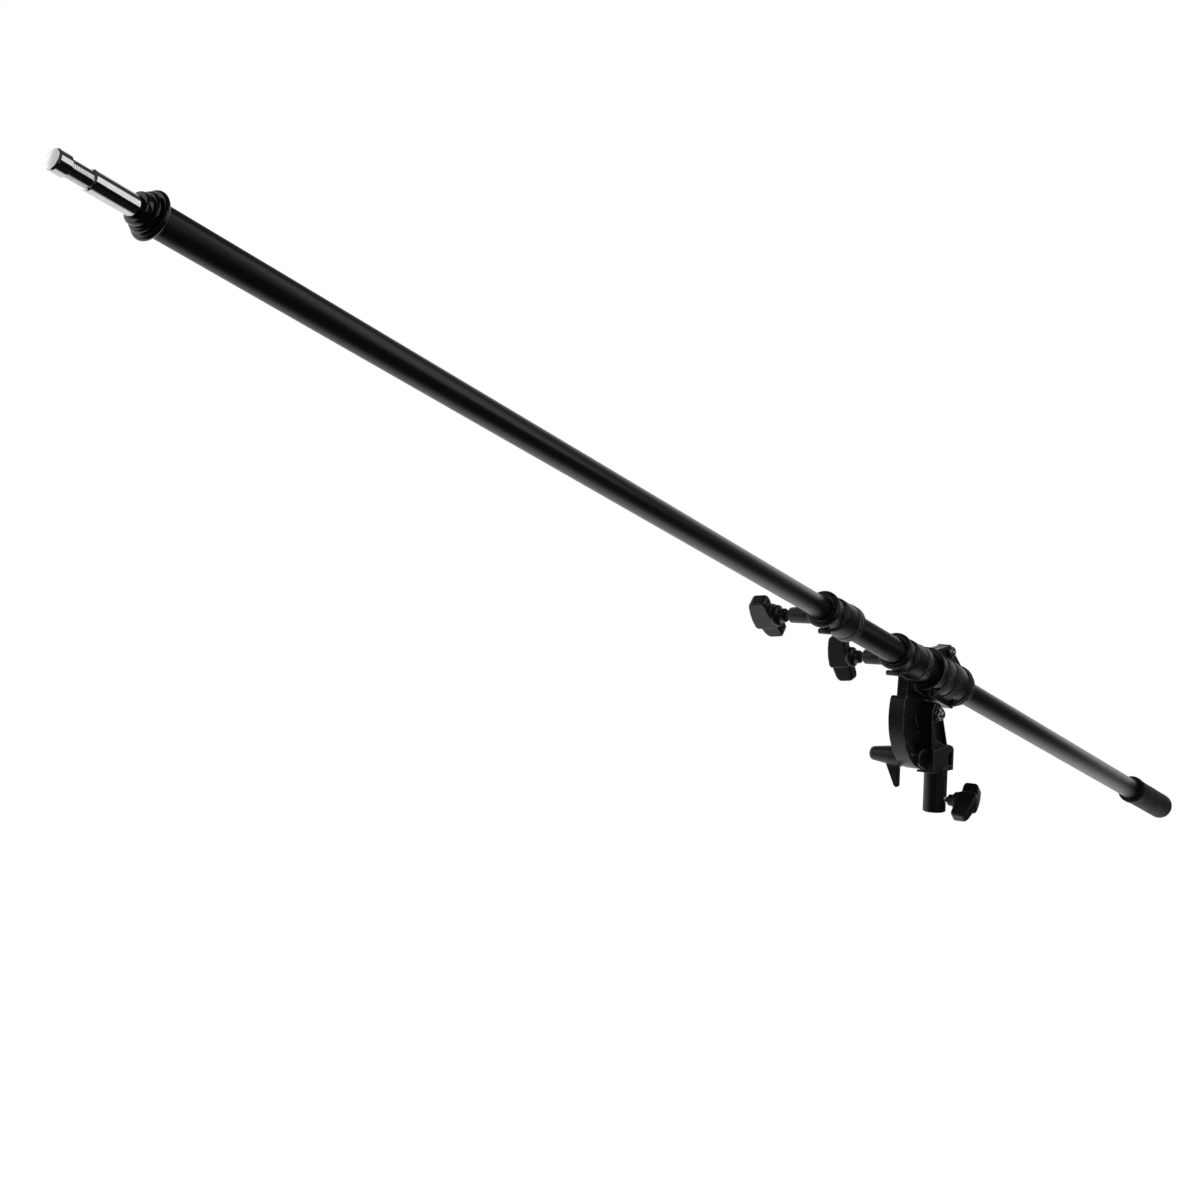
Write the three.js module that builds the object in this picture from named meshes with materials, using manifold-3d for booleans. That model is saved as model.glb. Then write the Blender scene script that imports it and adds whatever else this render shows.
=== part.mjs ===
// Overhead boom arm: two telescoping tubes in a tilting swivel head on a 16 mm stand receiver.
// Millimetres. +Z is up, +X is the way the boom points and +Y is the side of the receiver's T-knob.
// The origin is the centre of the receiver's mouth, where the stand's pin goes in.

import * as THREE from 'three';
import { mergeVertices } from 'three/addons/utils/BufferGeometryUtils.js';
import Module from 'manifold-3d';

const wasm = await Module();
wasm.setup();

// Clearances, overruns, edges and facets
const seatGap = 0.3;
const slideGap = 0.5;
const cutOverrun = 2;
const weldLap = 1;
const castEdge = 1;
const fineEdge = 0.6;
const mergeDistance = 1e-4;
const roundSides = 24;
const smallSides = 12;
const cornerSteps = 2;
const arcSteps = 12;

// Attitude
const restTilt = THREE.MathUtils.degToRad(17.8);
const halfTurn = Math.PI;
const quarterTurn = halfTurn / 2;

// Tubes
const innerTubeRadius = 12.5;
const innerTubeWall = 1.5;
const innerTubeLength = 1270;
const tubePlay = 0.5;
const outerTubeWall = 2.5;
const outerTubeLength = 1227;
const innerBore = innerTubeRadius - innerTubeWall;
const outerBore = innerTubeRadius + tubePlay;
const outerTubeRadius = outerBore + outerTubeWall;

// Stations along the boom, from the foot of the tilt pivot on the boom's axis
const outerTubeFront = 286;
const outerTubeRear = outerTubeFront - outerTubeLength;
const innerTubeFront = 1332.5;
const innerTubeRear = innerTubeFront - innerTubeLength;

// Base casting: receiver, block and leaning arm
const receiverRadius = 14.5;
const receiverHeight = 53;
const socketRadius = 8.15;
const socketDepth = 45;
const blockHalfWidth = 12;
const blockFront = 28.5;
const blockRear = -27.5;
const blockHeight = 29;
const blockRound = 3;
const blockTop = receiverHeight + blockHeight;
const armHalfWidth = 9.3;
const armTopRadius = 14.5;
const armRearFoot = -14;
const pivotForward = 20.5;
const pivotHeight = 127;
const pocketDepth = 4.5;
const pocketMargin = 5;
const recessWidth = 10;
const recessHeight = 17;
const recessDepth = 3;
const knobRibWidth = 8;
const knobRibProud = 0.4;
const receiverKnobHeight = 17;

// Pivot bolt
const pivotBoltRadius = 5;
const pivotHeadRadius = 8;
const pivotHeadHeight = 5;
const pivotWasherRadius = 8.6;
const pivotWasherHeight = 1.2;
const pivotNutHeight = 5.5;
const pivotNutRadius = 7.6;
const boltEndProud = 1.8;

// Tilt sector, in the head's frame with the pivot at its centre
const sectorRadius = 71;
const sectorThickness = 14.1;
const sectorLip = 6.4;
const sectorLipWidth = 7;
const sectorFrontAngle = THREE.MathUtils.degToRad(2);
const sectorRearAngle = THREE.MathUtils.degToRad(-134);
const sectorHubRadius = 15;
const slotFrontAngle = THREE.MathUtils.degToRad(-20);
const slotRearAngle = THREE.MathUtils.degToRad(-120);
const slotHalfWidth = 4.4;
const sectorPocketDepth = 3;
const sectorPocketInner = 22;
const sectorPocketOuter = 47;
const sectorFaceY = -armHalfWidth - seatGap;
const sectorBackY = sectorFaceY - sectorThickness;

// Tilt lock
const lockForward = 20;
const lockDrop = 55;
const lockRadius = Math.hypot(lockForward, lockDrop);
const lockLugRadius = 11;
const lockLugThickness = 10.3;
const studRadius = 4;
const studReach = 30;
const thrustWasherRadius = 12.5;
const thrustWasherHeight = 1.6;
const leverHubLength = 45;
const leverHubBaseRadius = 13.2;
const leverHubEndRadius = 8;
const leverHubChamfer = 2.4;
const leverReach = 40;
const leverRootWidth = 19;
const leverTipWidth = 5;
const leverThickness = 8;
const leverInset = 5;
const leverRound = 1.2;
const leverTipRound = 2.4;

// Boom clamp of the head
const sleeveWall = 4.2;
const sleeveRadius = outerTubeRadius + sleeveWall;
const clampBore = sleeveRadius + seatGap;
const clampWall = 4.5;
const clampRadius = clampBore + clampWall;
const clampRibProud = 2;
const clampRibWidth = 6;
const clampRibCount = 4;
const clampFront = 40;
const clampRear = -56;
const clampMiddle = (clampFront + clampRear) / 2;
const clampLength = clampFront - clampRear;
const splitHalfGap = 0.4;
const earThickness = 8;
const earBoltRise = 9;
const earBoltHeight = clampRadius + earBoltRise;
const earRadius = 8;
const earBoltRadius = 3;
const lowerScrewBelow = 1;
const lowerScrewDrop = clampRadius + lowerScrewBelow;
const lowerScrewSpacing = 63;
const lowerEarBelow = 7.5;
const lowerEarDepth = lowerScrewDrop + lowerEarBelow;
const earClearance = 1.3;
const boomRise = armTopRadius + earClearance + lowerEarDepth;
const lowerEarRound = 4;
const screwHeadRadius = 4.6;
const screwHeadHeight = 4.6;
const earNutRadius = 5.6;
const earNutHeight = 5;
const neckFront = 49.5;
const neckFrontTop = 58;
const neckRear = -38;
const neckRound = 4;
const neckTop = boomRise - clampRadius / 2;
const armClearance = 2.5;

// Collars: a rim, a waist and a wider barrel with a ring
const collarLength = 72;
const collarWaistShare = 0.52;
const rimWidth = 6;
const rimProud = 2.2;
const barrelProud = 2.6;
const barrelRingProud = 0.9;
const tubeCollarWall = 2.5;
const tubeCollarWaist = outerTubeRadius + tubeCollarWall;
const sleeveCollarWall = 4.1;
const sleeveCollarWaist = outerTubeRadius + sleeveCollarWall;
const sleeveCollarFront = 126;
const sleeveCollarRear = sleeveCollarFront - collarLength;
const tubeCollarRear = outerTubeFront - collarLength * (1 - collarWaistShare);
const tubeCollarFront = tubeCollarRear + collarLength;
const sleeveRingLength = 7;
const sleeveRingProud = 1;
const sleeveRingRadius = clampRadius + sleeveRingProud;
const bushLength = 10;
const bushWall = 1.8;
const bossReach = 50;
const bossRadius = 9;
const bossRootRadius = 11;
const bossSetback = 20;
const nubRadius = 4;
const nubProud = 9.5;
const nubReach = tubeCollarWaist + nubProud;
const nubTurn = THREE.MathUtils.degToRad(68);
const bossDroop = THREE.MathUtils.degToRad(6);

// T-knobs, along their own screw from the boss's outer face
const knobScrewRadius = 3.6;
const knobScrewShown = 4.6;
const knobHubRadius = 8.1;
const knobHubLength = 14.5;
const knobHubChamfer = 2.4;
const knobHeight = 45;
const knobReach = 30;
const knobChord = 16;
const knobOffset = 2;
const knobCrownRadius = 10;
const knobTipHeight = 34.5;
const knobTipInner = 20;
const knobTipRound = 5;
const knobShoulder = 41.5;
const knobBevel = 2.5;
const screwIntoHub = 12;
const shoeLength = 4;

// Inner tube's end cap and spigot
const spigotRadius = 8;
const capFlangeProud = 6;
const capFlangeRadius = innerTubeRadius + capFlangeProud;
const capFlangeWidth = 5;
const capRingProud = 2.5;
const capRingRadius = innerTubeRadius + capRingProud;
const capRingWidth = 6;
const capNoseWall = 4.1;
const capNoseRadius = spigotRadius + capNoseWall;
const capNoseWidth = 4.5;
const capEdge = 1.4;
const capPlugLength = 36;
const spigotBodyLength = 41;
const spigotNeckRadius = 6.5;
const spigotNeckLength = 18.6;
const spigotHeadLength = 11;
const spigotChamfer = 1.5;
const spigotShank = 42;
const crossPinRadius = 2;
const rearBushLength = 8;
const rearBushPlug = 20;

// Rear grip and plug
const gripFront = -785;
const gripWall = 4.4;
const gripRadius = outerTubeRadius + seatGap + gripWall;
const gripLipProud = 1.3;
const gripLipRadius = gripRadius + gripLipProud;
const gripLipWidth = 9;
const gripEndWall = 9;
const gripRear = outerTubeRear - gripEndWall;
const rearPlugLength = 24;
const plugFlange = 3;
const gripEndSteps = 5;

const finishes = {
  satinBlack: { color: 0x1b1b1c, roughness: 0.45, metalness: 0.3 },
  castBlack: { color: 0x161616, roughness: 0.55, metalness: 0.2 },
  glossBlack: { color: 0x0c0c0c, roughness: 0.12, metalness: 0.4 },
  knobBlack: { color: 0x131313, roughness: 0.5, metalness: 0 },
  rubber: { color: 0x0d0d0d, roughness: 0.9, metalness: 0 },
  chrome: { color: 0xc9c9c9, roughness: 0.12, metalness: 1 },
  zinc: { color: 0xb4b4b2, roughness: 0.3, metalness: 1 },
  screwBlack: { color: 0x262626, roughness: 0.4, metalness: 0 },
  bushBlack: { color: 0x1e1e1e, roughness: 0.5, metalness: 0 },
  brass: { color: 0xb08d4a, roughness: 0.35, metalness: 1 },
};

// A closed mesh as a solid that can be cut and joined
function solid(geometry) {
  const bare = geometry.clone();
  for (const name of Object.keys(bare.attributes)) {
    if (name !== 'position') bare.deleteAttribute(name);
  }
  const merged = mergeVertices(bare, mergeDistance);
  const index = merged.index.array;
  const kept = [];
  for (let i = 0; i < index.length; i += 3) {
    const [a, b, c] = [index[i], index[i + 1], index[i + 2]];
    if (a !== b && b !== c && c !== a) kept.push(a, b, c);
  }
  return new wasm.Manifold(new wasm.Mesh({
    numProp: 3,
    vertProperties: new Float32Array(merged.attributes.position.array),
    triVerts: new Uint32Array(kept),
  }));
}

function geometryOf(body) {
  const mesh = body.getMesh();
  const geometry = new THREE.BufferGeometry();
  geometry.setAttribute('position', new THREE.BufferAttribute(new Float32Array(mesh.vertProperties), 3));
  geometry.setIndex(new THREE.BufferAttribute(new Uint32Array(mesh.triVerts), 1));
  geometry.computeVertexNormals();
  return geometry;
}

function join(first, ...others) {
  return others.reduce((sum, other) => sum.add(other), first);
}

function cut(first, ...tools) {
  return tools.reduce((rest, tool) => rest.subtract(tool), first);
}

// A profile of [station, radius] points turned about X; it closes on the axis or on itself
function turned(profile, sides = roundSides) {
  const closed = [...profile];
  const [first, last] = [profile[0], profile[profile.length - 1]];
  if (first[1] !== 0 || last[1] !== 0) closed.push(first);
  let area = 0;
  closed.forEach(([station, radius], i) => {
    const [nextStation, nextRadius] = closed[(i + 1) % closed.length];
    area += station * nextRadius - nextStation * radius;
  });
  if (area > 0) closed.reverse();
  const points = closed.map(([station, radius]) => new THREE.Vector2(radius, station));
  return new THREE.LatheGeometry(points, sides).rotateZ(-quarterTurn);
}

const turnedSolid = (profile, sides) => solid(turned(profile, sides));

// A round bar along X with chamfered ends
function bar(from, to, radius, chamfer = 0, sides = roundSides) {
  const ends = chamfer > 0
    ? [[from, 0], [from, radius - chamfer], [from + chamfer, radius],
      [to - chamfer, radius], [to, radius - chamfer], [to, 0]]
    : [[from, 0], [from, radius], [to, radius], [to, 0]];
  return turned(ends, sides);
}

const barSolid = (from, to, radius, chamfer, sides) => solid(bar(from, to, radius, chamfer, sides));

const sleeve = (from, to, inner, outer, sides) => turned(
  [[from, inner], [from, outer], [to, outer], [to, inner]], sides);

const alongY = (geometry) => geometry.rotateZ(quarterTurn);
const alongFarY = (geometry) => geometry.rotateZ(-quarterTurn);
const alongZ = (geometry) => geometry.rotateY(-quarterTurn);

// An outline of [x, y, corner radius] points
function filleted(corners) {
  const shape = new THREE.Shape();
  corners.forEach(([x, y, radius = 0], i) => {
    const corner = new THREE.Vector2(x, y);
    const before = corners[(i + corners.length - 1) % corners.length];
    const after = corners[(i + 1) % corners.length];
    const towards = ([nx, ny]) => new THREE.Vector2(nx, ny).sub(corner).setLength(radius).add(corner);
    const start = towards(before);
    const end = towards(after);
    if (i === 0) shape.moveTo(start.x, start.y);
    else shape.lineTo(start.x, start.y);
    if (radius > 0) shape.quadraticCurveTo(corner.x, corner.y, end.x, end.y);
  });
  shape.closePath();
  return shape;
}

// An outline in X and Z, extruded along Y from one face to the other, with bevelled rims
function plateXZ(shape, fromY, toY, bevel = 0, curveSegments = cornerSteps) {
  const geometry = new THREE.ExtrudeGeometry(shape, {
    depth: toY - fromY - 2 * bevel,
    bevelEnabled: bevel > 0,
    bevelThickness: bevel,
    bevelSize: bevel,
    bevelOffset: -bevel,
    bevelSegments: 1,
    curveSegments,
  });
  return geometry.rotateX(quarterTurn).translate(0, toY - bevel, 0);
}

const plateSolid = (...settings) => solid(plateXZ(...settings));

function boxSolid(low, high) {
  const size = high.map((value, axis) => value - low[axis]);
  const middle = high.map((value, axis) => (value + low[axis]) / 2);
  return solid(new THREE.BoxGeometry(...size).translate(...middle));
}

// A ring sector about the Y axis, as an outline in X and Z
function ringOutline(inner, outer, fromAngle, toAngle) {
  const shape = new THREE.Shape();
  shape.absarc(0, 0, outer, fromAngle, toAngle, toAngle < fromAngle);
  if (inner > 0) shape.absarc(0, 0, inner, toAngle, fromAngle, toAngle > fromAngle);
  else shape.lineTo(0, 0);
  shape.closePath();
  return shape;
}

// A slot along an arc about the Y axis, with round ends
function arcSlotOutline(radius, halfWidth, fromAngle, toAngle) {
  const shape = new THREE.Shape();
  const clockwise = toAngle < fromAngle;
  const end = [Math.cos(toAngle) * radius, Math.sin(toAngle) * radius];
  const start = [Math.cos(fromAngle) * radius, Math.sin(fromAngle) * radius];
  shape.absarc(0, 0, radius + halfWidth, fromAngle, toAngle, clockwise);
  shape.absarc(...end, halfWidth, toAngle, toAngle + halfTurn, clockwise);
  shape.absarc(0, 0, radius - halfWidth, toAngle, fromAngle, !clockwise);
  shape.absarc(...start, halfWidth, fromAngle + halfTurn, fromAngle, clockwise);
  return shape;
}

const hexBar = (from, to, radius) => solid(new THREE.CylinderGeometry(radius, radius, to - from, 6)
  .rotateZ(-quarterTurn).translate((from + to) / 2, 0, 0));

function piece(name, shape, finish, parent) {
  const geometry = shape.isBufferGeometry ? shape : geometryOf(shape);
  const mesh = new THREE.Mesh(geometry, new THREE.MeshStandardMaterial(finishes[finish]));
  mesh.name = name;
  parent.add(mesh);
  return mesh;
}

// Frames: the head turns about the pivot, and the boom runs along X in the head
const boomArm = new THREE.Group();
const head = new THREE.Group();
head.position.set(pivotForward, 0, pivotHeight);
head.rotation.y = -restTilt;
boomArm.add(head);
const boom = new THREE.Group();
boom.position.set(0, 0, boomRise);
head.add(boom);

// A frame whose X runs out along a T-knob's screw, from the face of its boss
function knobFrame(parent, station, reach, turn, roll) {
  const place = new THREE.Group();
  place.position.set(station, Math.cos(turn) * reach, Math.sin(turn) * reach);
  place.rotation.set(turn, 0, quarterTurn, 'XZY');
  const axis = new THREE.Group();
  axis.rotation.x = roll;
  place.add(axis);
  parent.add(place);
  return axis;
}

// Receiver, block, arm and lock lug in one casting
function baseCasting() {
  const receiver = solid(alongZ(bar(0, receiverHeight + blockRound, receiverRadius, castEdge)));
  const block = plateSolid(filleted([
    [blockFront, receiverHeight, blockRound],
    [blockFront + blockRound, blockTop, blockRound],
    [armRearFoot, blockTop + blockRound, blockRound],
    [blockRear, blockTop, blockRound],
    [blockRear, receiverHeight, blockRound],
  ]), -blockHalfWidth, blockHalfWidth, blockRound / 2);
  const arm = plateSolid(armOutline(0), -armHalfWidth, armHalfWidth, blockRound / 2, arcSteps);
  const lugShape = new THREE.Shape();
  const lockX = pivotForward + lockForward;
  const lockZ = pivotHeight - lockDrop;
  lugShape.moveTo(0, lockZ + lockLugRadius);
  lugShape.lineTo(0, receiverHeight + blockRound);
  lugShape.lineTo(blockFront, receiverHeight + blockRound);
  lugShape.absarc(lockX, lockZ, lockLugRadius, -quarterTurn, quarterTurn, false);
  lugShape.closePath();
  const lug = plateSolid(lugShape, -armHalfWidth, lockLugThickness - armHalfWidth, blockRound / 2, arcSteps);
  const rib = boxSolid(
    [-knobRibWidth / 2, 0, receiverKnobHeight],
    [knobRibWidth / 2, receiverRadius + knobRibProud, receiverHeight + blockRound]);
  const knobBoss = solid(alongY(bar(0, receiverRadius + knobRibProud, knobRibWidth / 2))
    .translate(0, 0, receiverKnobHeight));
  const socket = solid(alongZ(turned([
    [-cutOverrun, 0], [-cutOverrun, socketRadius + castEdge], [0, socketRadius + castEdge],
    [castEdge, socketRadius], [socketDepth, socketRadius], [socketDepth, 0],
  ])));
  const knobHole = solid(alongY(bar(0, receiverRadius + cutOverrun, knobScrewRadius + seatGap, 0, smallSides))
    .translate(0, 0, receiverKnobHeight));
  const pivotHole = throughHole(pivotForward, pivotHeight, pivotBoltRadius + seatGap);
  const studHole = throughHole(lockX, lockZ, studRadius + seatGap);
  const sweepRadius = (sectorRadius + slideGap) / Math.cos(halfTurn / roundSides);
  const sectorSweep = solid(alongY(bar(-blockHalfWidth - cutOverrun, -armHalfWidth, sweepRadius))
    .translate(pivotForward, 0, pivotHeight));
  const lipInner = sectorRadius - sectorLipWidth;
  const lipSweep = solid(alongY(sleeve(-blockHalfWidth - cutOverrun, sectorFaceY + sectorLip + seatGap,
    lipInner - 2 * seatGap, sweepRadius)).translate(pivotForward, 0, pivotHeight));
  const pocket = plateSolid(armOutline(pocketMargin), armHalfWidth - pocketDepth, armHalfWidth + cutOverrun,
    0, arcSteps);
  const pocketFloor = boxSolid(
    [blockRear, 0, 0], [blockFront + blockHeight, blockHalfWidth + 2 * cutOverrun, blockTop + pocketMargin]);
  const pocketRoof = solid(alongY(bar(0, blockHalfWidth + 2 * cutOverrun, pivotWasherRadius + pocketMargin / 2))
    .translate(pivotForward, 0, pivotHeight));
  const recess = plateSolid(filleted([
    [blockRear + pocketMargin, receiverHeight + pocketMargin, recessDepth],
    [blockRear + pocketMargin + recessWidth, receiverHeight + pocketMargin, recessDepth],
    [blockRear + pocketMargin + recessWidth, receiverHeight + pocketMargin + recessHeight, recessDepth],
    [blockRear + pocketMargin, receiverHeight + pocketMargin + recessHeight, recessDepth],
  ]), blockHalfWidth - recessDepth, blockHalfWidth + cutOverrun);
  return cut(
    join(receiver, block, arm, lug, rib, knobBoss),
    socket, knobHole, pivotHole, studHole, sectorSweep, lipSweep, cut(pocket, pocketFloor, pocketRoof), recess);
}

// The arm's outline from the block up round the pivot, drawn in by a margin
function armOutline(margin) {
  const radius = armTopRadius - margin;
  const shape = new THREE.Shape();
  const front = new THREE.Vector2(pivotForward + armTopRadius, pivotHeight);
  const lean = Math.atan2(front.x - blockFront, pivotHeight - receiverHeight);
  const rearLean = Math.atan2(pivotForward - armTopRadius - armRearFoot, pivotHeight - blockTop);
  shape.moveTo(armRearFoot + margin, receiverHeight + margin + blockRound);
  shape.lineTo(blockFront - margin, receiverHeight + margin + blockRound);
  shape.absarc(pivotForward, pivotHeight, radius, -lean, halfTurn - rearLean, false);
  shape.lineTo(armRearFoot + margin, blockTop);
  shape.closePath();
  return shape;
}

const throughHole = (x, z, radius) => solid(alongY(
  bar(-sectorRadius, sectorRadius, radius, 0, smallSides)).translate(x, 0, z));

piece('base_casting', baseCasting(), 'castBlack', boomArm);

// Tilt pivot: a bolt through the sector and the arm, with its washer and nut on the +Y side
const pivotPlace = new THREE.Group();
pivotPlace.position.copy(head.position);
pivotPlace.rotation.z = quarterTurn;
boomArm.add(pivotPlace);
const washerFrom = armHalfWidth + seatGap;
const nutFrom = washerFrom + pivotWasherHeight + seatGap;
const nutTo = nutFrom + pivotNutHeight;
const pivotHeadTo = sectorBackY - seatGap;
piece('pivot_bolt', join(
  barSolid(pivotHeadTo - pivotHeadHeight, pivotHeadTo, pivotHeadRadius, castEdge),
  barSolid(pivotHeadTo - weldLap, nutTo + boltEndProud, pivotBoltRadius, fineEdge, smallSides)), 'zinc', pivotPlace);
piece('pivot_washer', sleeve(washerFrom, washerFrom + pivotWasherHeight,
  pivotBoltRadius + seatGap, pivotWasherRadius), 'zinc', pivotPlace);
piece('pivot_nut', hexNut(nutFrom, nutTo, pivotNutRadius, pivotBoltRadius), 'zinc', pivotPlace);

// A hex nut with turned-off corners
function hexNut(from, to, radius, boltRadius) {
  const corner = radius * 2 / Math.sqrt(3);
  const turnedOff = barSolid(from, to, corner, corner - radius);
  return cut(hexBar(from, to, corner).intersect(turnedOff),
    barSolid(from - cutOverrun, to + cutOverrun, boltRadius + seatGap, 0, smallSides));
}

// Sector, neck and far half of the clamp in one casting, in the head's frame
function swivelBody() {
  const plate = plateSolid(ringOutline(0, sectorRadius, sectorFrontAngle, sectorRearAngle),
    sectorBackY, sectorFaceY, castEdge, arcSteps);
  const hub = solid(alongY(bar(sectorBackY, sectorFaceY, sectorHubRadius, castEdge)));
  const lip = plateSolid(
    ringOutline(sectorRadius - sectorLipWidth, sectorRadius, sectorFrontAngle, sectorRearAngle),
    sectorFaceY - weldLap, sectorFaceY + sectorLip, castEdge, arcSteps);
  const neckLow = plateSolid(neckOutline(0, sectorHubRadius), sectorBackY, sectorFaceY, castEdge);
  const neckHigh = plateSolid(neckOutline(armTopRadius + armClearance, 0),
    sectorFaceY - neckRound, -splitHalfGap, castEdge);
  const shell = clampShell().intersect(boxSolid(
    [clampRear - cutOverrun, -2 * clampRadius, -2 * clampRadius],
    [clampFront + cutOverrun, -splitHalfGap, 2 * clampRadius])).translate(0, 0, boomRise);
  const ears = join(topEar(-earThickness, -splitHalfGap), lowerEar(-earThickness, -splitHalfGap))
    .translate(0, 0, boomRise);
  const bore = barSolid(clampRear - cutOverrun, clampFront + cutOverrun, clampBore).translate(0, 0, boomRise);
  const neckHollow = barSolid(clampFront - cutOverrun, neckFrontTop + cutOverrun,
    sleeveCollarWaist + barrelProud + barrelRingProud + slideGap).translate(0, 0, boomRise);
  const slot = plateSolid(arcSlotOutline(lockRadius, slotHalfWidth, slotFrontAngle, slotRearAngle),
    sectorBackY - cutOverrun, sectorFaceY + cutOverrun, 0, arcSteps);
  const pocketFrom = slotFrontAngle;
  const pocketTo = slotRearAngle + slotFrontAngle;
  const pocket = plateSolid(ringOutline(sectorPocketInner, sectorPocketOuter, pocketFrom, pocketTo),
    sectorFaceY - sectorPocketDepth, sectorFaceY + cutOverrun, 0, arcSteps);
  const backPocket = plateSolid(ringOutline(sectorPocketInner, sectorPocketOuter, pocketFrom, pocketTo),
    sectorBackY - cutOverrun, sectorBackY + sectorPocketDepth, 0, arcSteps);
  return cut(join(plate, hub, lip, neckLow, neckHigh, shell, ears),
    bore, neckHollow, slot, pocket, backPocket, throughHole(0, 0, pivotBoltRadius + seatGap), ...earHoles());
}

// The neck from a lower edge, with a raised rear corner, up into the clamp's shell
function neckOutline(bottom, rearRise) {
  return filleted([
    [neckFront, bottom, neckRound],
    [neckFrontTop, neckTop, neckRound],
    [neckRear - neckRound, neckTop, neckRound],
    [neckRear, bottom + rearRise, neckRound],
    [-sectorHubRadius, bottom, 0],
  ]);
}

// Clamp barrel with its ring ribs, about the boom's axis
function clampShell() {
  const inside = clampBore - weldLap;
  const proud = clampRadius + clampRibProud;
  const profile = [[clampRear, inside]];
  const ribPitch = (clampLength - clampRibWidth) / (clampRibCount - 1);
  for (let rib = 0; rib < clampRibCount; rib += 1) {
    const from = clampRear + rib * ribPitch;
    const to = from + clampRibWidth;
    profile.push([from, clampRadius], [from + castEdge, proud], [to - castEdge, proud], [to, clampRadius]);
  }
  profile.push([clampFront, inside]);
  return turnedSolid(profile);
}

// Ears of the clamp halves, about the boom's axis
function topEar(fromY, toY) {
  const shape = new THREE.Shape();
  const footHalf = clampLength / 2 - clampRibWidth;
  shape.moveTo(clampMiddle + footHalf, clampBore);
  shape.lineTo(clampMiddle + footHalf, clampRadius);
  shape.absarc(clampMiddle, earBoltHeight, earRadius, quarterTurn / 2, halfTurn - quarterTurn / 2, false);
  shape.lineTo(clampMiddle - footHalf, clampRadius);
  shape.lineTo(clampMiddle - footHalf, clampBore);
  shape.closePath();
  return plateSolid(shape, fromY, toY, castEdge, arcSteps / 2);
}

function lowerEar(fromY, toY) {
  const half = lowerScrewSpacing / 2 + 2 * screwHeadRadius;
  return plateSolid(filleted([
    [clampMiddle + half, -clampBore, 0],
    [clampMiddle + half - lowerEarRound, -lowerEarDepth, lowerEarRound],
    [clampMiddle - half + lowerEarRound, -lowerEarDepth, lowerEarRound],
    [clampMiddle - half, -clampBore, 0],
  ]), fromY, toY, castEdge);
}

const lowerScrewStations = [clampMiddle + lowerScrewSpacing / 2, clampMiddle - lowerScrewSpacing / 2];

function earHoles() {
  const places = [[clampMiddle, earBoltHeight], ...lowerScrewStations.map((x) => [x, -lowerScrewDrop])];
  return places.map(([x, z]) => throughHole(x, boomRise + z, earBoltRadius + seatGap));
}

piece('swivel_body', swivelBody(), 'castBlack', head);

function clampCap() {
  const shell = clampShell().intersect(boxSolid(
    [clampRear - cutOverrun, splitHalfGap, -2 * clampRadius],
    [clampFront + cutOverrun, 2 * clampRadius, 2 * clampRadius]));
  const ears = join(topEar(splitHalfGap, earThickness), lowerEar(splitHalfGap, earThickness));
  const bore = barSolid(clampRear - cutOverrun, clampFront + cutOverrun, clampBore);
  const seats = lowerScrewStations.map((x) => solid(alongY(
    bar(earThickness, 2 * clampRadius, screwHeadRadius + slideGap)).translate(x, 0, -lowerScrewDrop)));
  return cut(join(shell, ears).translate(0, 0, boomRise),
    bore.translate(0, 0, boomRise), ...seats.map((seat) => seat.translate(0, 0, boomRise)), ...earHoles());
}

piece('clamp_cap', clampCap(), 'castBlack', head);

// Clamp fasteners: a bolt and nut on the top ear, and two socket screws at the lower edge
const topBoltPlace = new THREE.Group();
topBoltPlace.position.set(clampMiddle, 0, boomRise + earBoltHeight);
topBoltPlace.rotation.z = quarterTurn;
head.add(topBoltPlace);
const earFace = earThickness + seatGap;
piece('clamp_top_bolt', join(
  barSolid(-earFace - earNutHeight, -earFace, earNutRadius, fineEdge, smallSides),
  barSolid(-earFace - weldLap, earFace + earNutHeight + boltEndProud, earBoltRadius, fineEdge, smallSides)),
'zinc', topBoltPlace);
piece('clamp_top_nut', hexNut(earFace, earFace + earNutHeight, earNutRadius, earBoltRadius), 'zinc', topBoltPlace);
lowerScrewStations.forEach((station, i) => {
  const place = new THREE.Group();
  place.position.set(station, 0, boomRise - lowerScrewDrop);
  place.rotation.z = quarterTurn;
  head.add(place);
  const screw = join(
    barSolid(earFace, earFace + screwHeadHeight, screwHeadRadius, fineEdge, smallSides),
    barSolid(castEdge - earThickness, earFace + weldLap, earBoltRadius, fineEdge, smallSides));
  const socket = hexBar(earFace + screwHeadHeight / 2, earFace + screwHeadHeight + cutOverrun, screwHeadRadius / 2);
  piece(['clamp_screw_front', 'clamp_screw_rear'][i], cut(screw, socket), 'screwBlack', place);
});

// A collar's outside: rim, waist, barrel and ring, from its rear to its front
function collarProfile(rear, waist) {
  const front = rear + collarLength;
  const step = rear + collarLength * (1 - collarWaistShare);
  const barrel = waist + barrelProud;
  const ring = barrel + barrelRingProud;
  const rim = waist + rimProud;
  return [
    [rear, ring - castEdge], [rear + castEdge, ring], [rear + rimWidth, ring],
    [rear + rimWidth + castEdge, barrel], [step - castEdge, barrel], [step + barrelProud, waist],
    [front - rimWidth - rimProud, waist], [front - rimWidth, rim], [front - castEdge, rim],
    [front, rim - castEdge],
  ];
}

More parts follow.
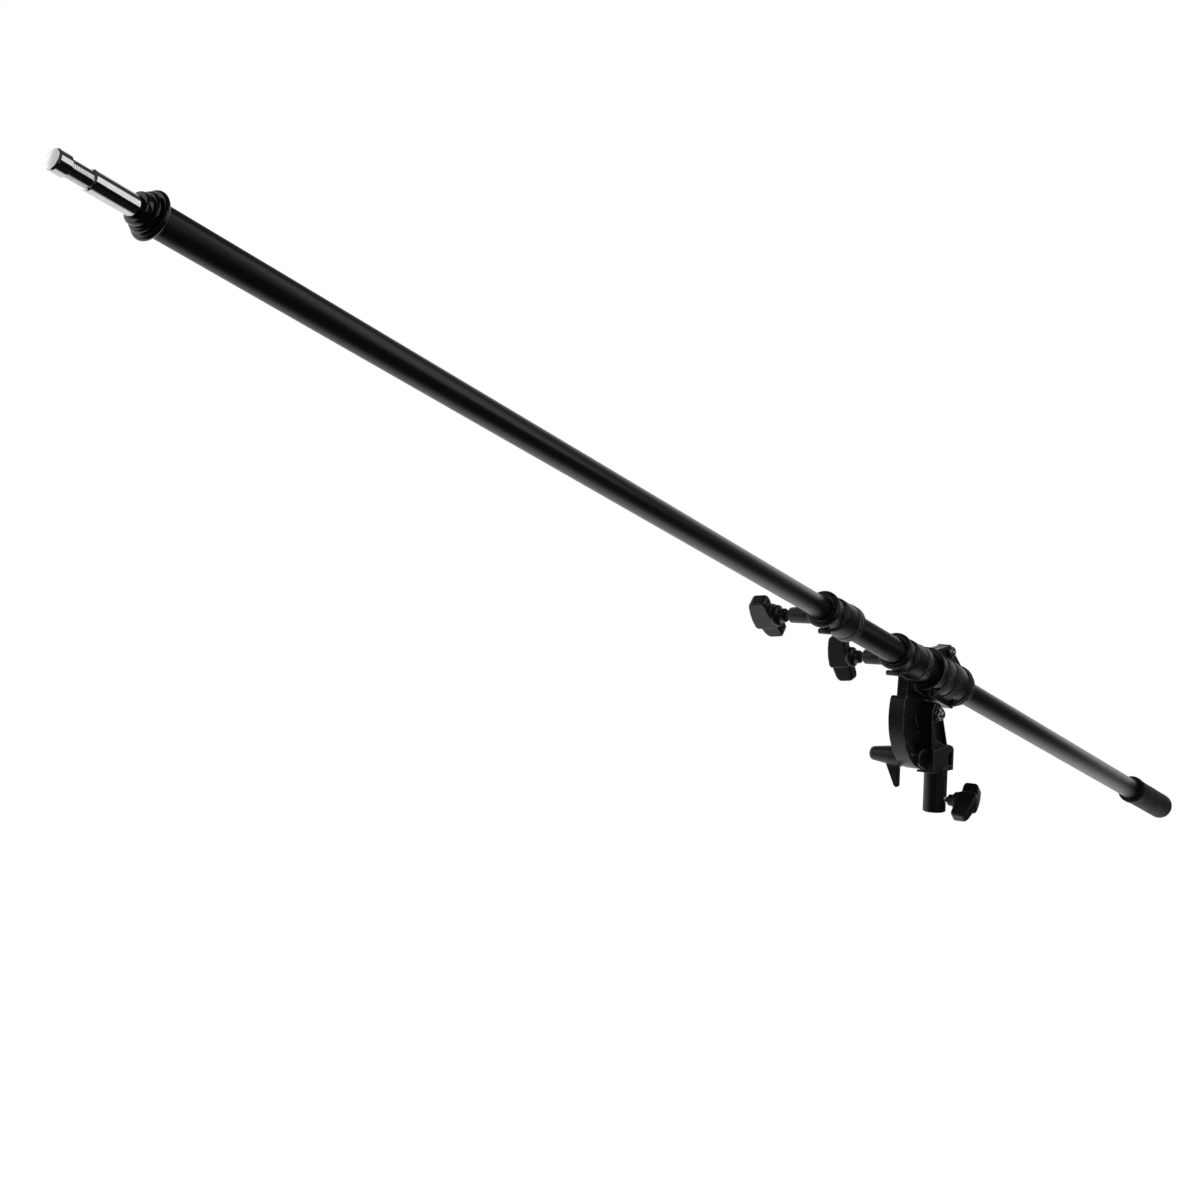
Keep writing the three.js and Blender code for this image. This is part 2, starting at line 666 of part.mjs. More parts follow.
// Boss for a T-knob's screw and the small round nub below it, on the collar's far side
function collarBosses(station, waist) {
  const boss = solid(alongFarY(turned([
    [0, 0], [0, bossRootRadius], [waist, bossRootRadius], [bossReach - castEdge, bossRadius],
    [bossReach, bossRadius - castEdge], [bossReach, 0],
  ])).rotateX(bossDroop).translate(station, 0, 0));
  const nub = solid(alongFarY(turned([
    [0, 0], [0, nubRadius], [nubReach - nubRadius / 2, nubRadius], [nubReach, nubRadius / 2], [nubReach, 0],
  ], smallSides)).rotateX(bossDroop + nubTurn).translate(station, 0, 0));
  return join(boss, nub);
}

const bossHole = (station) => solid(alongFarY(bar(0, bossReach + cutOverrun, knobScrewRadius + seatGap, 0,
  smallSides)).rotateX(bossDroop).translate(station, 0, 0));

// Collar on the outer tube's front end
function tubeCollar() {
  const outside = turnedSolid([[tubeCollarRear, 0], ...collarProfile(tubeCollarRear, tubeCollarWaist),
    [tubeCollarFront, 0]]);
  const station = tubeCollarFront - bossSetback;
  const bore = turnedSolid([
    [tubeCollarRear - cutOverrun, 0], [tubeCollarRear - cutOverrun, outerTubeRadius + seatGap],
    [outerTubeFront + seatGap, outerTubeRadius + seatGap], [outerTubeFront + seatGap, outerBore],
    [tubeCollarFront - bushLength - seatGap, outerBore],
    [tubeCollarFront - bushLength - seatGap, innerTubeRadius + bushWall + seatGap],
    [tubeCollarFront + cutOverrun, innerTubeRadius + bushWall + seatGap], [tubeCollarFront + cutOverrun, 0],
  ]);
  return cut(join(outside, collarBosses(station, tubeCollarWaist)), bore, bossHole(station));
}

// Collar and sleeve that carry the outer tube through the clamp
function slidingSleeve() {
  const rear = clampRear - sleeveRingLength;
  const outside = turnedSolid([
    [rear, 0], [rear, sleeveRadius], [sleeveCollarRear, sleeveRadius],
    ...collarProfile(sleeveCollarRear, sleeveCollarWaist), [sleeveCollarFront, 0],
  ]);
  const station = sleeveCollarFront - bossSetback;
  const bushSeat = outerTubeRadius + bushWall + seatGap;
  const bore = turnedSolid([
    [rear - cutOverrun, 0], [rear - cutOverrun, bushSeat], [rear + bushLength + seatGap, bushSeat],
    [rear + bushLength + seatGap, outerTubeRadius + slideGap],
    [sleeveCollarFront - bushLength - seatGap, outerTubeRadius + slideGap],
    [sleeveCollarFront - bushLength - seatGap, bushSeat],
    [sleeveCollarFront + cutOverrun, bushSeat], [sleeveCollarFront + cutOverrun, 0],
  ]);
  return cut(join(outside, collarBosses(station, sleeveCollarWaist)), bore, bossHole(station));
}

const sleeveRear = clampRear - sleeveRingLength;
piece('sliding_sleeve', slidingSleeve(), 'castBlack', boom);
piece('sleeve_ring', turned([
  [sleeveRear, sleeveRadius + seatGap], [sleeveRear, sleeveRingRadius - castEdge],
  [sleeveRear + castEdge, sleeveRingRadius],
  [clampRear - seatGap, sleeveRingRadius], [clampRear - seatGap, sleeveRadius + seatGap],
]), 'castBlack', boom);
const bushBore = outerTubeRadius + seatGap;
const bushRadius = outerTubeRadius + bushWall;
piece('sleeve_bush_front', sleeve(sleeveCollarFront - bushLength, sleeveCollarFront - seatGap,
  bushBore, bushRadius), 'bushBlack', boom);
piece('sleeve_bush_rear', sleeve(sleeveRear + seatGap, sleeveRear + bushLength, bushBore, bushRadius),
  'bushBlack', boom);

// Outer tube with its collar, bush, plug and grip
piece('outer_tube', sleeve(outerTubeRear, outerTubeFront, outerBore, outerTubeRadius), 'satinBlack', boom);
piece('tube_collar', tubeCollar(), 'castBlack', boom);
piece('collar_bush', sleeve(tubeCollarFront - bushLength, tubeCollarFront - seatGap,
  innerTubeRadius + seatGap, innerTubeRadius + bushWall), 'bushBlack', boom);
const plugRear = outerTubeRear - plugFlange;
piece('rear_plug', turned([
  [plugRear, 0], [plugRear, outerTubeRadius],
  [outerTubeRear - seatGap, outerTubeRadius], [outerTubeRear - seatGap, outerBore - seatGap],
  [outerTubeRear + rearPlugLength, outerBore - seatGap], [outerTubeRear + rearPlugLength, 0],
]), 'knobBlack', boom);

function rearGrip() {
  const profile = [[gripRear, 0]];
  for (let step = 1; step <= gripEndSteps; step += 1) {
    const angle = quarterTurn * step / gripEndSteps;
    profile.push([gripRear + gripRadius / 2 * (1 - Math.cos(angle)), gripRadius * Math.sin(angle)]);
  }
  profile.push([gripFront - gripLipWidth - castEdge, gripRadius], [gripFront - gripLipWidth, gripLipRadius]);
  profile.push([gripFront - castEdge, gripLipRadius], [gripFront, gripLipRadius - castEdge], [gripFront, 0]);
  const bore = barSolid(plugRear - seatGap, gripFront + cutOverrun, outerTubeRadius + seatGap);
  return cut(turnedSolid(profile), bore);
}

piece('rear_grip', rearGrip(), 'rubber', boom);

// Inner tube with its end cap, spigot and rear bush
piece('inner_tube', sleeve(innerTubeRear, innerTubeFront, innerBore, innerTubeRadius), 'satinBlack', boom);
const flangeFrom = innerTubeFront + seatGap;
const ringFrom = flangeFrom + capFlangeWidth;
const noseFrom = ringFrom + capRingWidth;
const noseTo = noseFrom + capNoseWidth;

const crossPinHole = (station) => solid(alongY(bar(-innerBore - cutOverrun, innerBore + cutOverrun,
  crossPinRadius + seatGap, 0, smallSides)).translate(station, 0, 0));
const crossPinStation = innerTubeFront - capPlugLength / 2;

function endCap() {
  const outside = turnedSolid([
    [innerTubeFront - capPlugLength, 0], [innerTubeFront - capPlugLength, innerBore - seatGap],
    [flangeFrom, innerBore - seatGap], [flangeFrom, capFlangeRadius - capEdge / 2],
    [flangeFrom + capEdge / 2, capFlangeRadius],
    [ringFrom - capEdge, capFlangeRadius], [ringFrom, capFlangeRadius - capEdge], [ringFrom, capRingRadius - capEdge],
    [ringFrom + capEdge, capRingRadius], [noseFrom - capEdge, capRingRadius],
    [noseFrom, capRingRadius - capEdge], [noseFrom, capNoseRadius],
    [noseTo - capEdge, capNoseRadius], [noseTo, capNoseRadius - capEdge], [noseTo, 0],
  ]);
  const bore = barSolid(innerTubeFront - capPlugLength - cutOverrun, noseTo + cutOverrun, spigotRadius + seatGap);
  return cut(outside, bore, crossPinHole(crossPinStation));
}

piece('end_cap', endCap(), 'glossBlack', boom);

const neckFrom = noseTo + spigotBodyLength;
const headFrom = neckFrom + spigotNeckLength;
const spigotTip = headFrom + spigotHeadLength;
const spigotDrop = spigotRadius - spigotNeckRadius;
piece('spigot', cut(turnedSolid([
  [noseTo - spigotShank, 0], [noseTo - spigotShank, spigotRadius], [neckFrom - spigotDrop, spigotRadius],
  [neckFrom, spigotNeckRadius], [headFrom, spigotNeckRadius], [headFrom, spigotRadius],
  [spigotTip - spigotChamfer, spigotRadius], [spigotTip, spigotRadius - spigotChamfer], [spigotTip, 0],
]), crossPinHole(crossPinStation)), 'chrome', boom);
piece('spigot_pin', alongY(bar(-innerBore + slideGap, innerBore - slideGap, crossPinRadius, 0, smallSides))
  .translate(crossPinStation, 0, 0), 'zinc', boom);
piece('inner_rear_bush', turned([
  [innerTubeRear - rearBushLength, 0], [innerTubeRear - rearBushLength, outerBore - seatGap],
  [innerTubeRear - seatGap, outerBore - seatGap], [innerTubeRear - seatGap, innerBore - seatGap],
  [innerTubeRear + rearBushPlug, innerBore - seatGap], [innerTubeRear + rearBushPlug, 0],
]), 'bushBlack', boom);

// One wing of a T-knob, set off to one side of the screw's axis
function knobWing(side) {
  const inner = knobScrewShown + knobHubLength;
  const outline = filleted([
    [inner, 0],
    [inner + knobBevel, side * knobCrownRadius],
    [knobTipInner, side * knobReach, knobTipRound],
    [knobTipHeight, side * knobReach, knobTipRound],
    [knobShoulder, side * knobCrownRadius, knobTipRound],
    [knobHeight - knobBevel, 0],
  ]);
  const middle = -side * knobOffset;
  return solid(new THREE.ExtrudeGeometry(outline, {
    depth: knobChord - 2 * knobBevel, bevelEnabled: true, bevelThickness: knobBevel, bevelSize: knobBevel,
    bevelOffset: -knobBevel, bevelSegments: 1, curveSegments: cornerSteps,
  }).translate(0, 0, middle + knobBevel - knobChord / 2));
}

// A T-knob: hub, round crown and two wings swept back towards the boss
function knobBody() {
  const hubTo = knobScrewShown + knobHubLength;
  const hub = turnedSolid([
    [knobScrewShown, 0], [knobScrewShown, knobHubRadius - knobHubChamfer],
    [knobScrewShown + knobHubChamfer, knobHubRadius], [hubTo, knobHubRadius],
    [hubTo + castEdge, knobCrownRadius], [knobShoulder, knobCrownRadius],
    [knobHeight - castEdge, knobCrownRadius / 2], [knobHeight, 0],
  ], smallSides);
  const bore = barSolid(0, knobScrewShown + screwIntoHub + seatGap, knobScrewRadius + seatGap, 0, smallSides);
  return cut(join(hub, knobWing(1), knobWing(-1)), bore);
}

// A T-knob's moving pieces, with the shoe's inner face at a distance behind the boss's face
function addKnob(prefix, place, depth) {
  const shoeFrom = -depth + seatGap;
  const shoeTo = shoeFrom + shoeLength;
  piece(`${prefix}_shoe`, bar(shoeFrom, shoeTo, knobScrewRadius, 0, smallSides), 'brass', place);
  piece(`${prefix}_screw`, bar(shoeTo + seatGap, knobScrewShown + screwIntoHub, knobScrewRadius, fineEdge, smallSides),
    'zinc', place);
  piece(`${prefix}_knob`, knobBody(), 'knobBlack', place);
}

const knobRolls = {
  sleeve: THREE.MathUtils.degToRad(60),
  collar: THREE.MathUtils.degToRad(31),
  receiver: THREE.MathUtils.degToRad(46),
};
const farSide = halfTurn + bossDroop;
addKnob('collar', knobFrame(boom, tubeCollarFront - bossSetback, bossReach, farSide, knobRolls.collar),
  bossReach - innerTubeRadius);
addKnob('sleeve', knobFrame(boom, sleeveCollarFront - bossSetback, bossReach, farSide, knobRolls.sleeve),
  bossReach - outerTubeRadius);
const receiverKnobPlace = new THREE.Group();
receiverKnobPlace.position.z = receiverKnobHeight;
boomArm.add(receiverKnobPlace);
addKnob('receiver', knobFrame(receiverKnobPlace, 0, receiverRadius + knobRibProud, 0, knobRolls.receiver),
  receiverRadius + knobRibProud - socketRadius);

// Tilt lock: stud in the arm's lug, thrust washer and lever, along -Y from the sector's back
const lockPlace = new THREE.Group();
lockPlace.position.set(pivotForward + lockForward, 0, pivotHeight - lockDrop);
lockPlace.rotation.z = -quarterTurn;
boomArm.add(lockPlace);
const sectorBack = -sectorBackY;
const washerAt = sectorBack + seatGap;
const hubFrom = washerAt + thrustWasherHeight + seatGap;
const hubTo = hubFrom + leverHubLength;
const studFrom = armHalfWidth - lockLugThickness;
piece('tilt_stud', bar(studFrom, hubFrom + studReach, studRadius, fineEdge, smallSides), 'zinc', lockPlace);
piece('thrust_washer', sleeve(washerAt, washerAt + thrustWasherHeight, studRadius + seatGap, thrustWasherRadius),
  'zinc', lockPlace);

function tiltLever() {
  const hub = turnedSolid([
    [hubFrom, 0], [hubFrom, leverHubBaseRadius - castEdge], [hubFrom + castEdge, leverHubBaseRadius],
    [hubTo - leverHubChamfer, leverHubEndRadius], [hubTo, leverHubEndRadius - leverHubChamfer], [hubTo, 0],
  ]);
  const rootFrom = hubFrom + leverInset;
  const blade = plateSolid(filleted([
    [rootFrom, 0, 0],
    [rootFrom + leverRootWidth, 0, 0],
    [rootFrom + leverRootWidth, -leverHubEndRadius, leverTipWidth],
    [rootFrom + leverTipWidth, -leverReach, leverTipRound],
    [rootFrom, -leverReach + leverTipRound, leverTipRound],
  ]), -leverThickness / 2, leverThickness / 2, leverRound);
  const bore = barSolid(hubFrom - cutOverrun, hubFrom + studReach + slideGap, studRadius + seatGap, 0, smallSides);
  return cut(join(hub, blade), bore);
}

piece('tilt_lever', tiltLever(), 'knobBlack', lockPlace);

export default boomArm;
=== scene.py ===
# Overhead boom arm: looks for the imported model, one section for each piece or group of like pieces.
import math

import bpy
from mathutils import Matrix, Vector


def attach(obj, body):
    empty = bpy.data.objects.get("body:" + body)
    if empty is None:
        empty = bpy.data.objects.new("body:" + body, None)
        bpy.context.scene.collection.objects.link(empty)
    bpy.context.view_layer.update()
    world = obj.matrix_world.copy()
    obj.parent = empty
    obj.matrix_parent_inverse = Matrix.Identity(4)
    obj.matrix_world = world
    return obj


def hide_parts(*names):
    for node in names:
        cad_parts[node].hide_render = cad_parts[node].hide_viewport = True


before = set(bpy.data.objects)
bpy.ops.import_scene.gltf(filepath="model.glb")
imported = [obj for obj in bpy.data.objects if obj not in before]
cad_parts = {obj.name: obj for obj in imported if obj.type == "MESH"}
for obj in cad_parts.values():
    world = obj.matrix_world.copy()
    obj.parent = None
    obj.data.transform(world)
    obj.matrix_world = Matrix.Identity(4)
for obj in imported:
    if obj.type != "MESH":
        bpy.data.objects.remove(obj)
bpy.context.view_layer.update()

# Camera: where the photographer stood, ahead of the boom on its +X side and a little above the head,
# with a lens of 54 mm on a 36 mm square frame.
camera_place = Vector((2.0967, 0.9628, 0.4131))
camera_right = Vector((-0.5808, 0.8134, 0.0240))
camera_up = Vector((-0.0413, -0.0590, 0.9970))
camera_lens = 54
camera_data = bpy.data.cameras.new("photo_camera")
camera_data.lens = camera_lens
camera_data.sensor_width = 36
camera_data.clip_start = 0.05
camera_data.clip_end = 60
camera = bpy.data.objects.new("photo_camera", camera_data)
camera_back = camera_right.cross(camera_up).normalized()
camera_up = camera_back.cross(camera_right).normalized()
turn = Matrix((camera_right.normalized(), camera_up, camera_back)).transposed()
camera.matrix_world = Matrix.Translation(camera_place) @ turn.to_4x4()
bpy.context.scene.collection.objects.link(camera)
bpy.context.scene.camera = camera

# Studio: a pale floor far below the arm, a white backdrop behind it, and three soft boxes.
# The rest of the room is dark, as a studio is, and the camera sees white all round.
bpy.context.scene.view_settings.view_transform = "Standard"
floor_height = -1.62
floor_reach = 30
floor_parts = 8
floor_lift = 0.88
floor_colour, floor_shade = (0.8, 0.8, 0.8, 1), (0.03, 0.03, 0.03, 1)
room_shade, pure_white = (0.06, 0.06, 0.06, 1), (1, 1, 1, 1)
white_lobes = (((-0.35, -0.8, -0.5), 0.15, 0.62), ((-0.9, -0.35, 0.05), 0.8, 0.93))


def feed(tree, socket, value):
    """Links a socket to another socket, or sets it to a plain value."""
    if isinstance(value, bpy.types.NodeSocket):
        tree.links.new(value, socket)
    else:
        socket.default_value = value


def wire(tree, kind, fed=(), **settings):
    """Adds a shader node with its settings and its fed sockets, and gives its outputs."""
    node = tree.nodes.new(f"ShaderNode{kind}")
    for name, value in settings.items():
        setattr(node, name, value)
    for label, value in dict(fed).items():
        feed(tree, node.inputs[label], value)
    return node.outputs


def blend(tree, share, first, second):
    """A colour between two, each a socket or a plain colour."""
    return wire(tree, "Mix", {"Factor": share, "A": first, "B": second}, data_type="RGBA")["Result"]


def new_group(name, takes, gives):
    """A shader node group with named sockets: its tree, what it takes and what it gives."""
    group = bpy.data.node_groups.new(name, "ShaderNodeTree")
    for label, kind, value in takes:
        group.interface.new_socket(label, in_out="INPUT", socket_type=kind).default_value = value
    for label, kind in gives:
        group.interface.new_socket(label, in_out="OUTPUT", socket_type=kind)
    return group, group.nodes.new("NodeGroupInput").outputs, group.nodes.new("NodeGroupOutput").inputs


# White side: the share of white that a direction meets, in two soft lobes round the room
white_side, taken, given = new_group(
    "white_side", [("Direction", "NodeSocketVector", (0, 0, 0))], [("Share", "NodeSocketFloat")])
straight = wire(white_side, "VectorMath", {0: taken["Direction"]}, operation="NORMALIZE")["Vector"]
lobes = {}
for side, (toward, edge, full) in enumerate(white_lobes):
    facing = wire(white_side, "VectorMath", {0: straight, 1: Vector(toward).normalized()},
                  operation="DOT_PRODUCT")
    lobes[side] = wire(white_side, "MapRange", {"Value": facing["Value"], "From Min": edge, "From Max": full},
                       interpolation_type="SMOOTHSTEP")["Result"]
feed(white_side, given["Share"], wire(white_side, "Math", lobes, operation="MAXIMUM")[0])

bpy.ops.object.select_all(action="DESELECT")
bpy.ops.mesh.primitive_grid_add(x_subdivisions=floor_parts, y_subdivisions=floor_parts, size=floor_reach,
                                location=(0, 0, floor_height))
floor = bpy.context.object
floor.name = "studio_floor"

floor_paper = bpy.data.materials.new("floor_paper")
floor_paper.use_nodes = True
tree = floor_paper.node_tree
seen = wire(tree, "LightPath")
ground = wire(tree, "Group", {"Direction": wire(tree, "NewGeometry")["Position"]}, node_tree=white_side)
mirrored = wire(tree, "Math", {0: seen["Is Glossy Ray"], 1: ground["Share"]}, operation="MULTIPLY")[0]
unlit = wire(tree, "Math", {0: seen["Is Glossy Ray"], 1: mirrored}, operation="SUBTRACT")[0]
bright = wire(tree, "Math", {0: seen["Is Camera Ray"], 1: mirrored}, operation="MAXIMUM")[0]
paper = {
    "Roughness": 0.9, "Specular IOR Level": 0.1, "Emission Color": pure_white,
    "Base Color": blend(tree, unlit, floor_colour, floor_shade),
    "Emission Strength": wire(tree, "Math", {0: bright, 1: floor_lift}, operation="MULTIPLY")[0],
}
for label, value in paper.items():
    feed(tree, tree.nodes["Principled BSDF"].inputs[label], value)
floor.data.materials.append(floor_paper)

world = bpy.data.worlds.new("studio_room")
bpy.context.scene.world = world
world.use_nodes = True
tree = world.node_tree
tree.nodes.clear()
seen = wire(tree, "LightPath")
around = wire(tree, "Group", {"Direction": wire(tree, "TexCoord")["Generated"]}, node_tree=white_side)
room = blend(tree, around["Share"], room_shade, pure_white)
seen_straight = {0: seen["Is Camera Ray"], 1: seen["Is Transmission Ray"]}
shown = blend(tree, wire(tree, "Math", seen_straight, operation="MAXIMUM")[0], room, pure_white)
wire(tree, "OutputWorld", {"Surface": wire(tree, "Background", {"Color": shown})[0]})


def soft_box(name, place, aim, width, height, power):
    """A large soft area light that never shows in the picture itself."""
    data = bpy.data.lights.new(name, "AREA")
    data.shape = "RECTANGLE"
    data.size, data.size_y = width, height
    data.energy = power
    lamp = bpy.data.objects.new(name, data)
    lamp.location = place
    lamp.rotation_euler = (Vector(aim) - Vector(place)).to_track_quat("-Z", "Y").to_euler()
    lamp.visible_camera = False
    bpy.context.scene.collection.objects.link(lamp)


soft_box("right_box", (-0.55, 1.9, 1.25), (1.2, 0, 0.5), 1.2, 2.6, 11)
soft_box("left_box", (2.6, -2.5, 2.0), (1.2, 0, 0.5), 2.4, 2.4, 16)
soft_box("edge_box", (1.35, 2.1, 0.9), (0.1, 0, 0.15), 0.5, 1.6, 6)

# Base casting: a die-cast aluminium receiver, block and leaning arm in satin black powder coat.
# The receiver is bored for the stand's pin, and the arm holds the tilt pivot.
mm = 0.001
full_turn = 2 * math.pi
tilt = math.radians(17.8)
pivot = Vector((20.5, 0, 127)) * mm
boom_rise = 48.8 * mm
at_head = Matrix.Translation(pivot) @ Matrix.Rotation(-tilt, 4, "Y")
at_boom = at_head @ Matrix.Translation((0, 0, boom_rise))


def open_piece():
    """Leaves nothing selected, so that the next operator acts on its own piece alone."""
    if bpy.context.object and bpy.context.object.mode == "EDIT":
        bpy.ops.object.mode_set(mode="OBJECT")
    bpy.ops.object.select_all(action="DESELECT")


def use(piece):
    open_piece()
    bpy.context.view_layer.objects.active = piece
    piece.select_set(True)


def first_point(name, place):
    """One point, as the start of an outline that is drawn by extruding."""
    open_piece()
    bpy.ops.mesh.primitive_plane_add(size=mm)
    piece = bpy.context.object
    piece.name = name
    bpy.ops.object.mode_set(mode="EDIT")
    bpy.ops.mesh.merge(type="CENTER")
    bpy.ops.transform.translate(value=place)
    return piece


def draw(points):
    """Extrudes an outline from point to point."""
    for before, after in zip(points, points[1:]):
        step = Vector(after) - Vector(before)
        bpy.ops.mesh.extrude_vertices_move(TRANSFORM_OT_translate={"value": step})


def turned(name, profile, sides=96):
    """A profile of (along X, out from X) millimetres, turned about the X axis."""
    points = [Vector((along, 0, out)) * mm for along, out in profile]
    piece = first_point(name, points[0])
    draw(points)
    bpy.ops.mesh.select_all(action="SELECT")
    bpy.ops.mesh.spin(steps=sides, angle=full_turn, center=(0, 0, 0), axis=(1, 0, 0))
    bpy.ops.mesh.select_all(action="SELECT")
    bpy.ops.mesh.remove_doubles(threshold=mm / 200)
    bpy.ops.mesh.normals_make_consistent(inside=False)
    bpy.ops.object.mode_set(mode="OBJECT")
    return piece


def slab(name, outline, low, high):
    """An outline of (X, Z) millimetres, made a face and extruded along Y from low to high."""
    points = [Vector((x, low, z)) * mm for x, z in outline]
    piece = first_point(name, points[0])
    draw([*points, points[0]])
    bpy.ops.mesh.select_all(action="SELECT")
    bpy.ops.mesh.remove_doubles(threshold=mm / 200)
    bpy.ops.mesh.select_all(action="SELECT")
    bpy.ops.mesh.edge_face_add()
    bpy.ops.mesh.extrude_region_move(TRANSFORM_OT_translate={"value": (0, (high - low) * mm, 0)})
    bpy.ops.mesh.select_all(action="SELECT")
    bpy.ops.mesh.normals_make_consistent(inside=False)
    bpy.ops.object.mode_set(mode="OBJECT")
    return piece


def block(name, low, high):
    """A box from its low to its high corner, in millimetres."""
    middle = [(a + b) / 2 * mm for a, b in zip(low, high)]
    size = [(b - a) * mm for a, b in zip(low, high)]
    open_piece()
    bpy.ops.mesh.primitive_cube_add(size=1, location=middle, scale=size)
    piece = bpy.context.object
    piece.name = name
    bpy.ops.object.transform_apply(location=True, rotation=True, scale=True)
    return piece


def put(piece, where):
    """Sets a piece in its place, with the place in its mesh."""
    use(piece)
    piece.matrix_world = where @ piece.matrix_world
    bpy.context.view_layer.update()
    bpy.ops.object.transform_apply(location=True, rotation=True, scale=True)
    return piece


def finish_with(piece, kind, **settings):
    """Adds a modifier and applies it."""
    use(piece)
    modifier = piece.modifiers.new(kind.lower(), kind)
    for name, value in settings.items():
        setattr(modifier, name, value)
    bpy.ops.object.modifier_apply(modifier=modifier.name)
    return piece


def combine(piece, tools, operation):
    for tool in tools:
        finish_with(piece, "BOOLEAN", operation=operation, solver="EXACT", object=tool)
        bpy.data.objects.remove(tool)
    return piece


def weld(piece, *others):
    return combine(piece, others, "UNION")


def cut(piece, *tools):
    return combine(piece, tools, "DIFFERENCE")


def keep(piece, *tools):
    return combine(piece, tools, "INTERSECT")


def cast(piece, grid, rounds):
    """Gives a joined shape the soft edges and small fillets of a casting or a moulding."""
    finish_with(piece, "REMESH", mode="VOXEL", voxel_size=grid * mm)
    finish_with(piece, "SMOOTH", factor=0.5, iterations=rounds)
    use(piece)
    bpy.ops.object.shade_smooth()
    return piece


def arc(centre_x, centre_z, radius, start, end, steps):
    """Points of (X, Z) along an arc, from start to end in degrees."""
    found = []
    for step in range(steps + 1):
        angle = math.radians(start + (end - start) * step / steps)
        found.append((centre_x + radius * math.cos(angle), centre_z + radius * math.sin(angle)))
    return found


def bar(name, start, end, radius, axis, middle, sides=64):
    """A round bar in millimetres along X, Y or Z."""
    turns = {"X": Matrix.Identity(4), "Y": Matrix.Rotation(math.pi / 2, 4, "Z"),
             "Z": Matrix.Rotation(-math.pi / 2, 4, "Y")}
    piece = turned(name, [(start, 0), (start, radius), (end, radius), (end, 0)], sides)
    return put(piece, Matrix.Translation(Vector(middle) * mm) @ turns[axis])


# Grain: a fine skin and slow patches, both from noise on object coordinates
grain, taken, given = new_group(
    "surface_grain",
    [("Skin Scale", "NodeSocketFloat", 1500.0), ("Patch Scale", "NodeSocketFloat", 60.0),
     ("Stretch", "NodeSocketVector", (1.0, 1.0, 1.0)), ("Lean", "NodeSocketVector", (0.0, 0.0, 0.0))],
    [("Skin", "NodeSocketFloat"), ("Patch", "NodeSocketFloat")])
leaning = wire(grain, "Mapping", {"Vector": wire(grain, "TexCoord")["Object"], "Rotation": taken["Lean"]})
drawn = wire(grain, "VectorMath", {0: leaning["Vector"], 1: taken["Stretch"]}, operation="MULTIPLY")["Vector"]
for label, detail in (("Skin", 3.0), ("Patch", 4.0)):
    noise = wire(grain, "TexNoise", {"Vector": drawn, "Scale": taken[f"{label} Scale"], "Detail": detail})
    feed(grain, given[label], noise["Fac"])

# Edge wear and painted highlight: a mask where a small bevel would turn the surface or a fine mesh stands
# proud, broken up by noise. The lighter colour laid there stands partly for wear and partly for light
# glinting on rounded edges.
wear_and_glint, taken, given = new_group(
    "edge_wear_and_glint",
    [("Width", "NodeSocketFloat", 0.001), ("Breakup Scale", "NodeSocketFloat", 400.0),
     ("Relief", "NodeSocketFloat", 0.0)],
    [("Mask", "NodeSocketFloat")])
rounded = wire(wear_and_glint, "Bevel", {"Radius": taken["Width"]}, samples=4)
flat = wire(wear_and_glint, "NewGeometry")
agree = wire(wear_and_glint, "VectorMath", {0: rounded["Normal"], 1: flat["Normal"]}, operation="DOT_PRODUCT")
turning = wire(wear_and_glint, "MapRange", {"Value": agree["Value"], "From Min": 0.985, "From Max": 0.86})
proud = wire(wear_and_glint, "MapRange", {"Value": flat["Pointiness"], "From Min": 0.518, "From Max": 0.55})
relief = wire(wear_and_glint, "Math", {0: proud["Result"], 1: taken["Relief"]}, operation="MULTIPLY")
rubbed_and_glinting = wire(wear_and_glint, "Math", {0: turning["Result"], 1: relief[0]}, operation="MAXIMUM")
noise = wire(wear_and_glint, "TexNoise", {"Vector": wire(wear_and_glint, "TexCoord")["Object"], "Scale": taken["Breakup Scale"],
                                "Detail": 5.0})
broken = wire(wear_and_glint, "MapRange", {"Value": noise["Fac"], "From Min": 0.35, "From Max": 0.6})
feed(wear_and_glint, given["Mask"], wire(wear_and_glint, "Math", {0: rubbed_and_glinting[0], 1: broken["Result"]}, operation="MULTIPLY")[0])


def finish_of(name, colour, wear_and_glint_colour, rough, skin, depth, patch,
              edge=0.0, relief=0.0, stretch=(1, 1, 1), metal=0.0, **sockets):
    """A material from the two groups: colour with lighter edges, partly wear and partly painted highlight, a
    range of roughness and a fine bump.
    """
    made = bpy.data.materials.new(name)
    made.use_nodes = True
    tree = made.node_tree
    lean = (0, 0, 0) if stretch == (1, 1, 1) else (0, tilt, 0)
    darker, lighter = [(*[c * share for c in colour], 1) for share in (0.8, 1.2)]
    texture = wire(tree, "Group", {"Skin Scale": skin, "Patch Scale": patch, "Stretch": stretch,
                                   "Lean": lean}, node_tree=grain)
    roughness = wire(tree, "MapRange", {"Value": texture["Patch"], "From Min": 0.3, "From Max": 0.7,
                                        "To Min": rough[0], "To Max": rough[1]})["Result"]
    paint = blend(tree, texture["Patch"], darker, lighter)
    if edge > 0:
        edges = wire(tree, "Group", {"Width": edge * mm, "Relief": relief}, node_tree=wear_and_glint)
        # Lighter edges: partly wear, partly a painted highlight of light glinting on them.
        paint = blend(tree, edges["Mask"], paint, (*wear_and_glint_colour, 1))
    bump = wire(tree, "Bump", {"Strength": 1.0, "Distance": depth * mm, "Height": texture["Skin"]})["Normal"]
    shader = {"Base Color": paint, "Roughness": roughness, "Metallic": metal, "Normal": bump}
    shader.update({label.replace("_", " "): value for label, value in sockets.items()})
    for label, value in shader.items():
        feed(tree, tree.nodes["Principled BSDF"].inputs[label], value)
    return made


def dress(piece, material):
    piece.data.materials.clear()
    piece.data.materials.append(material)


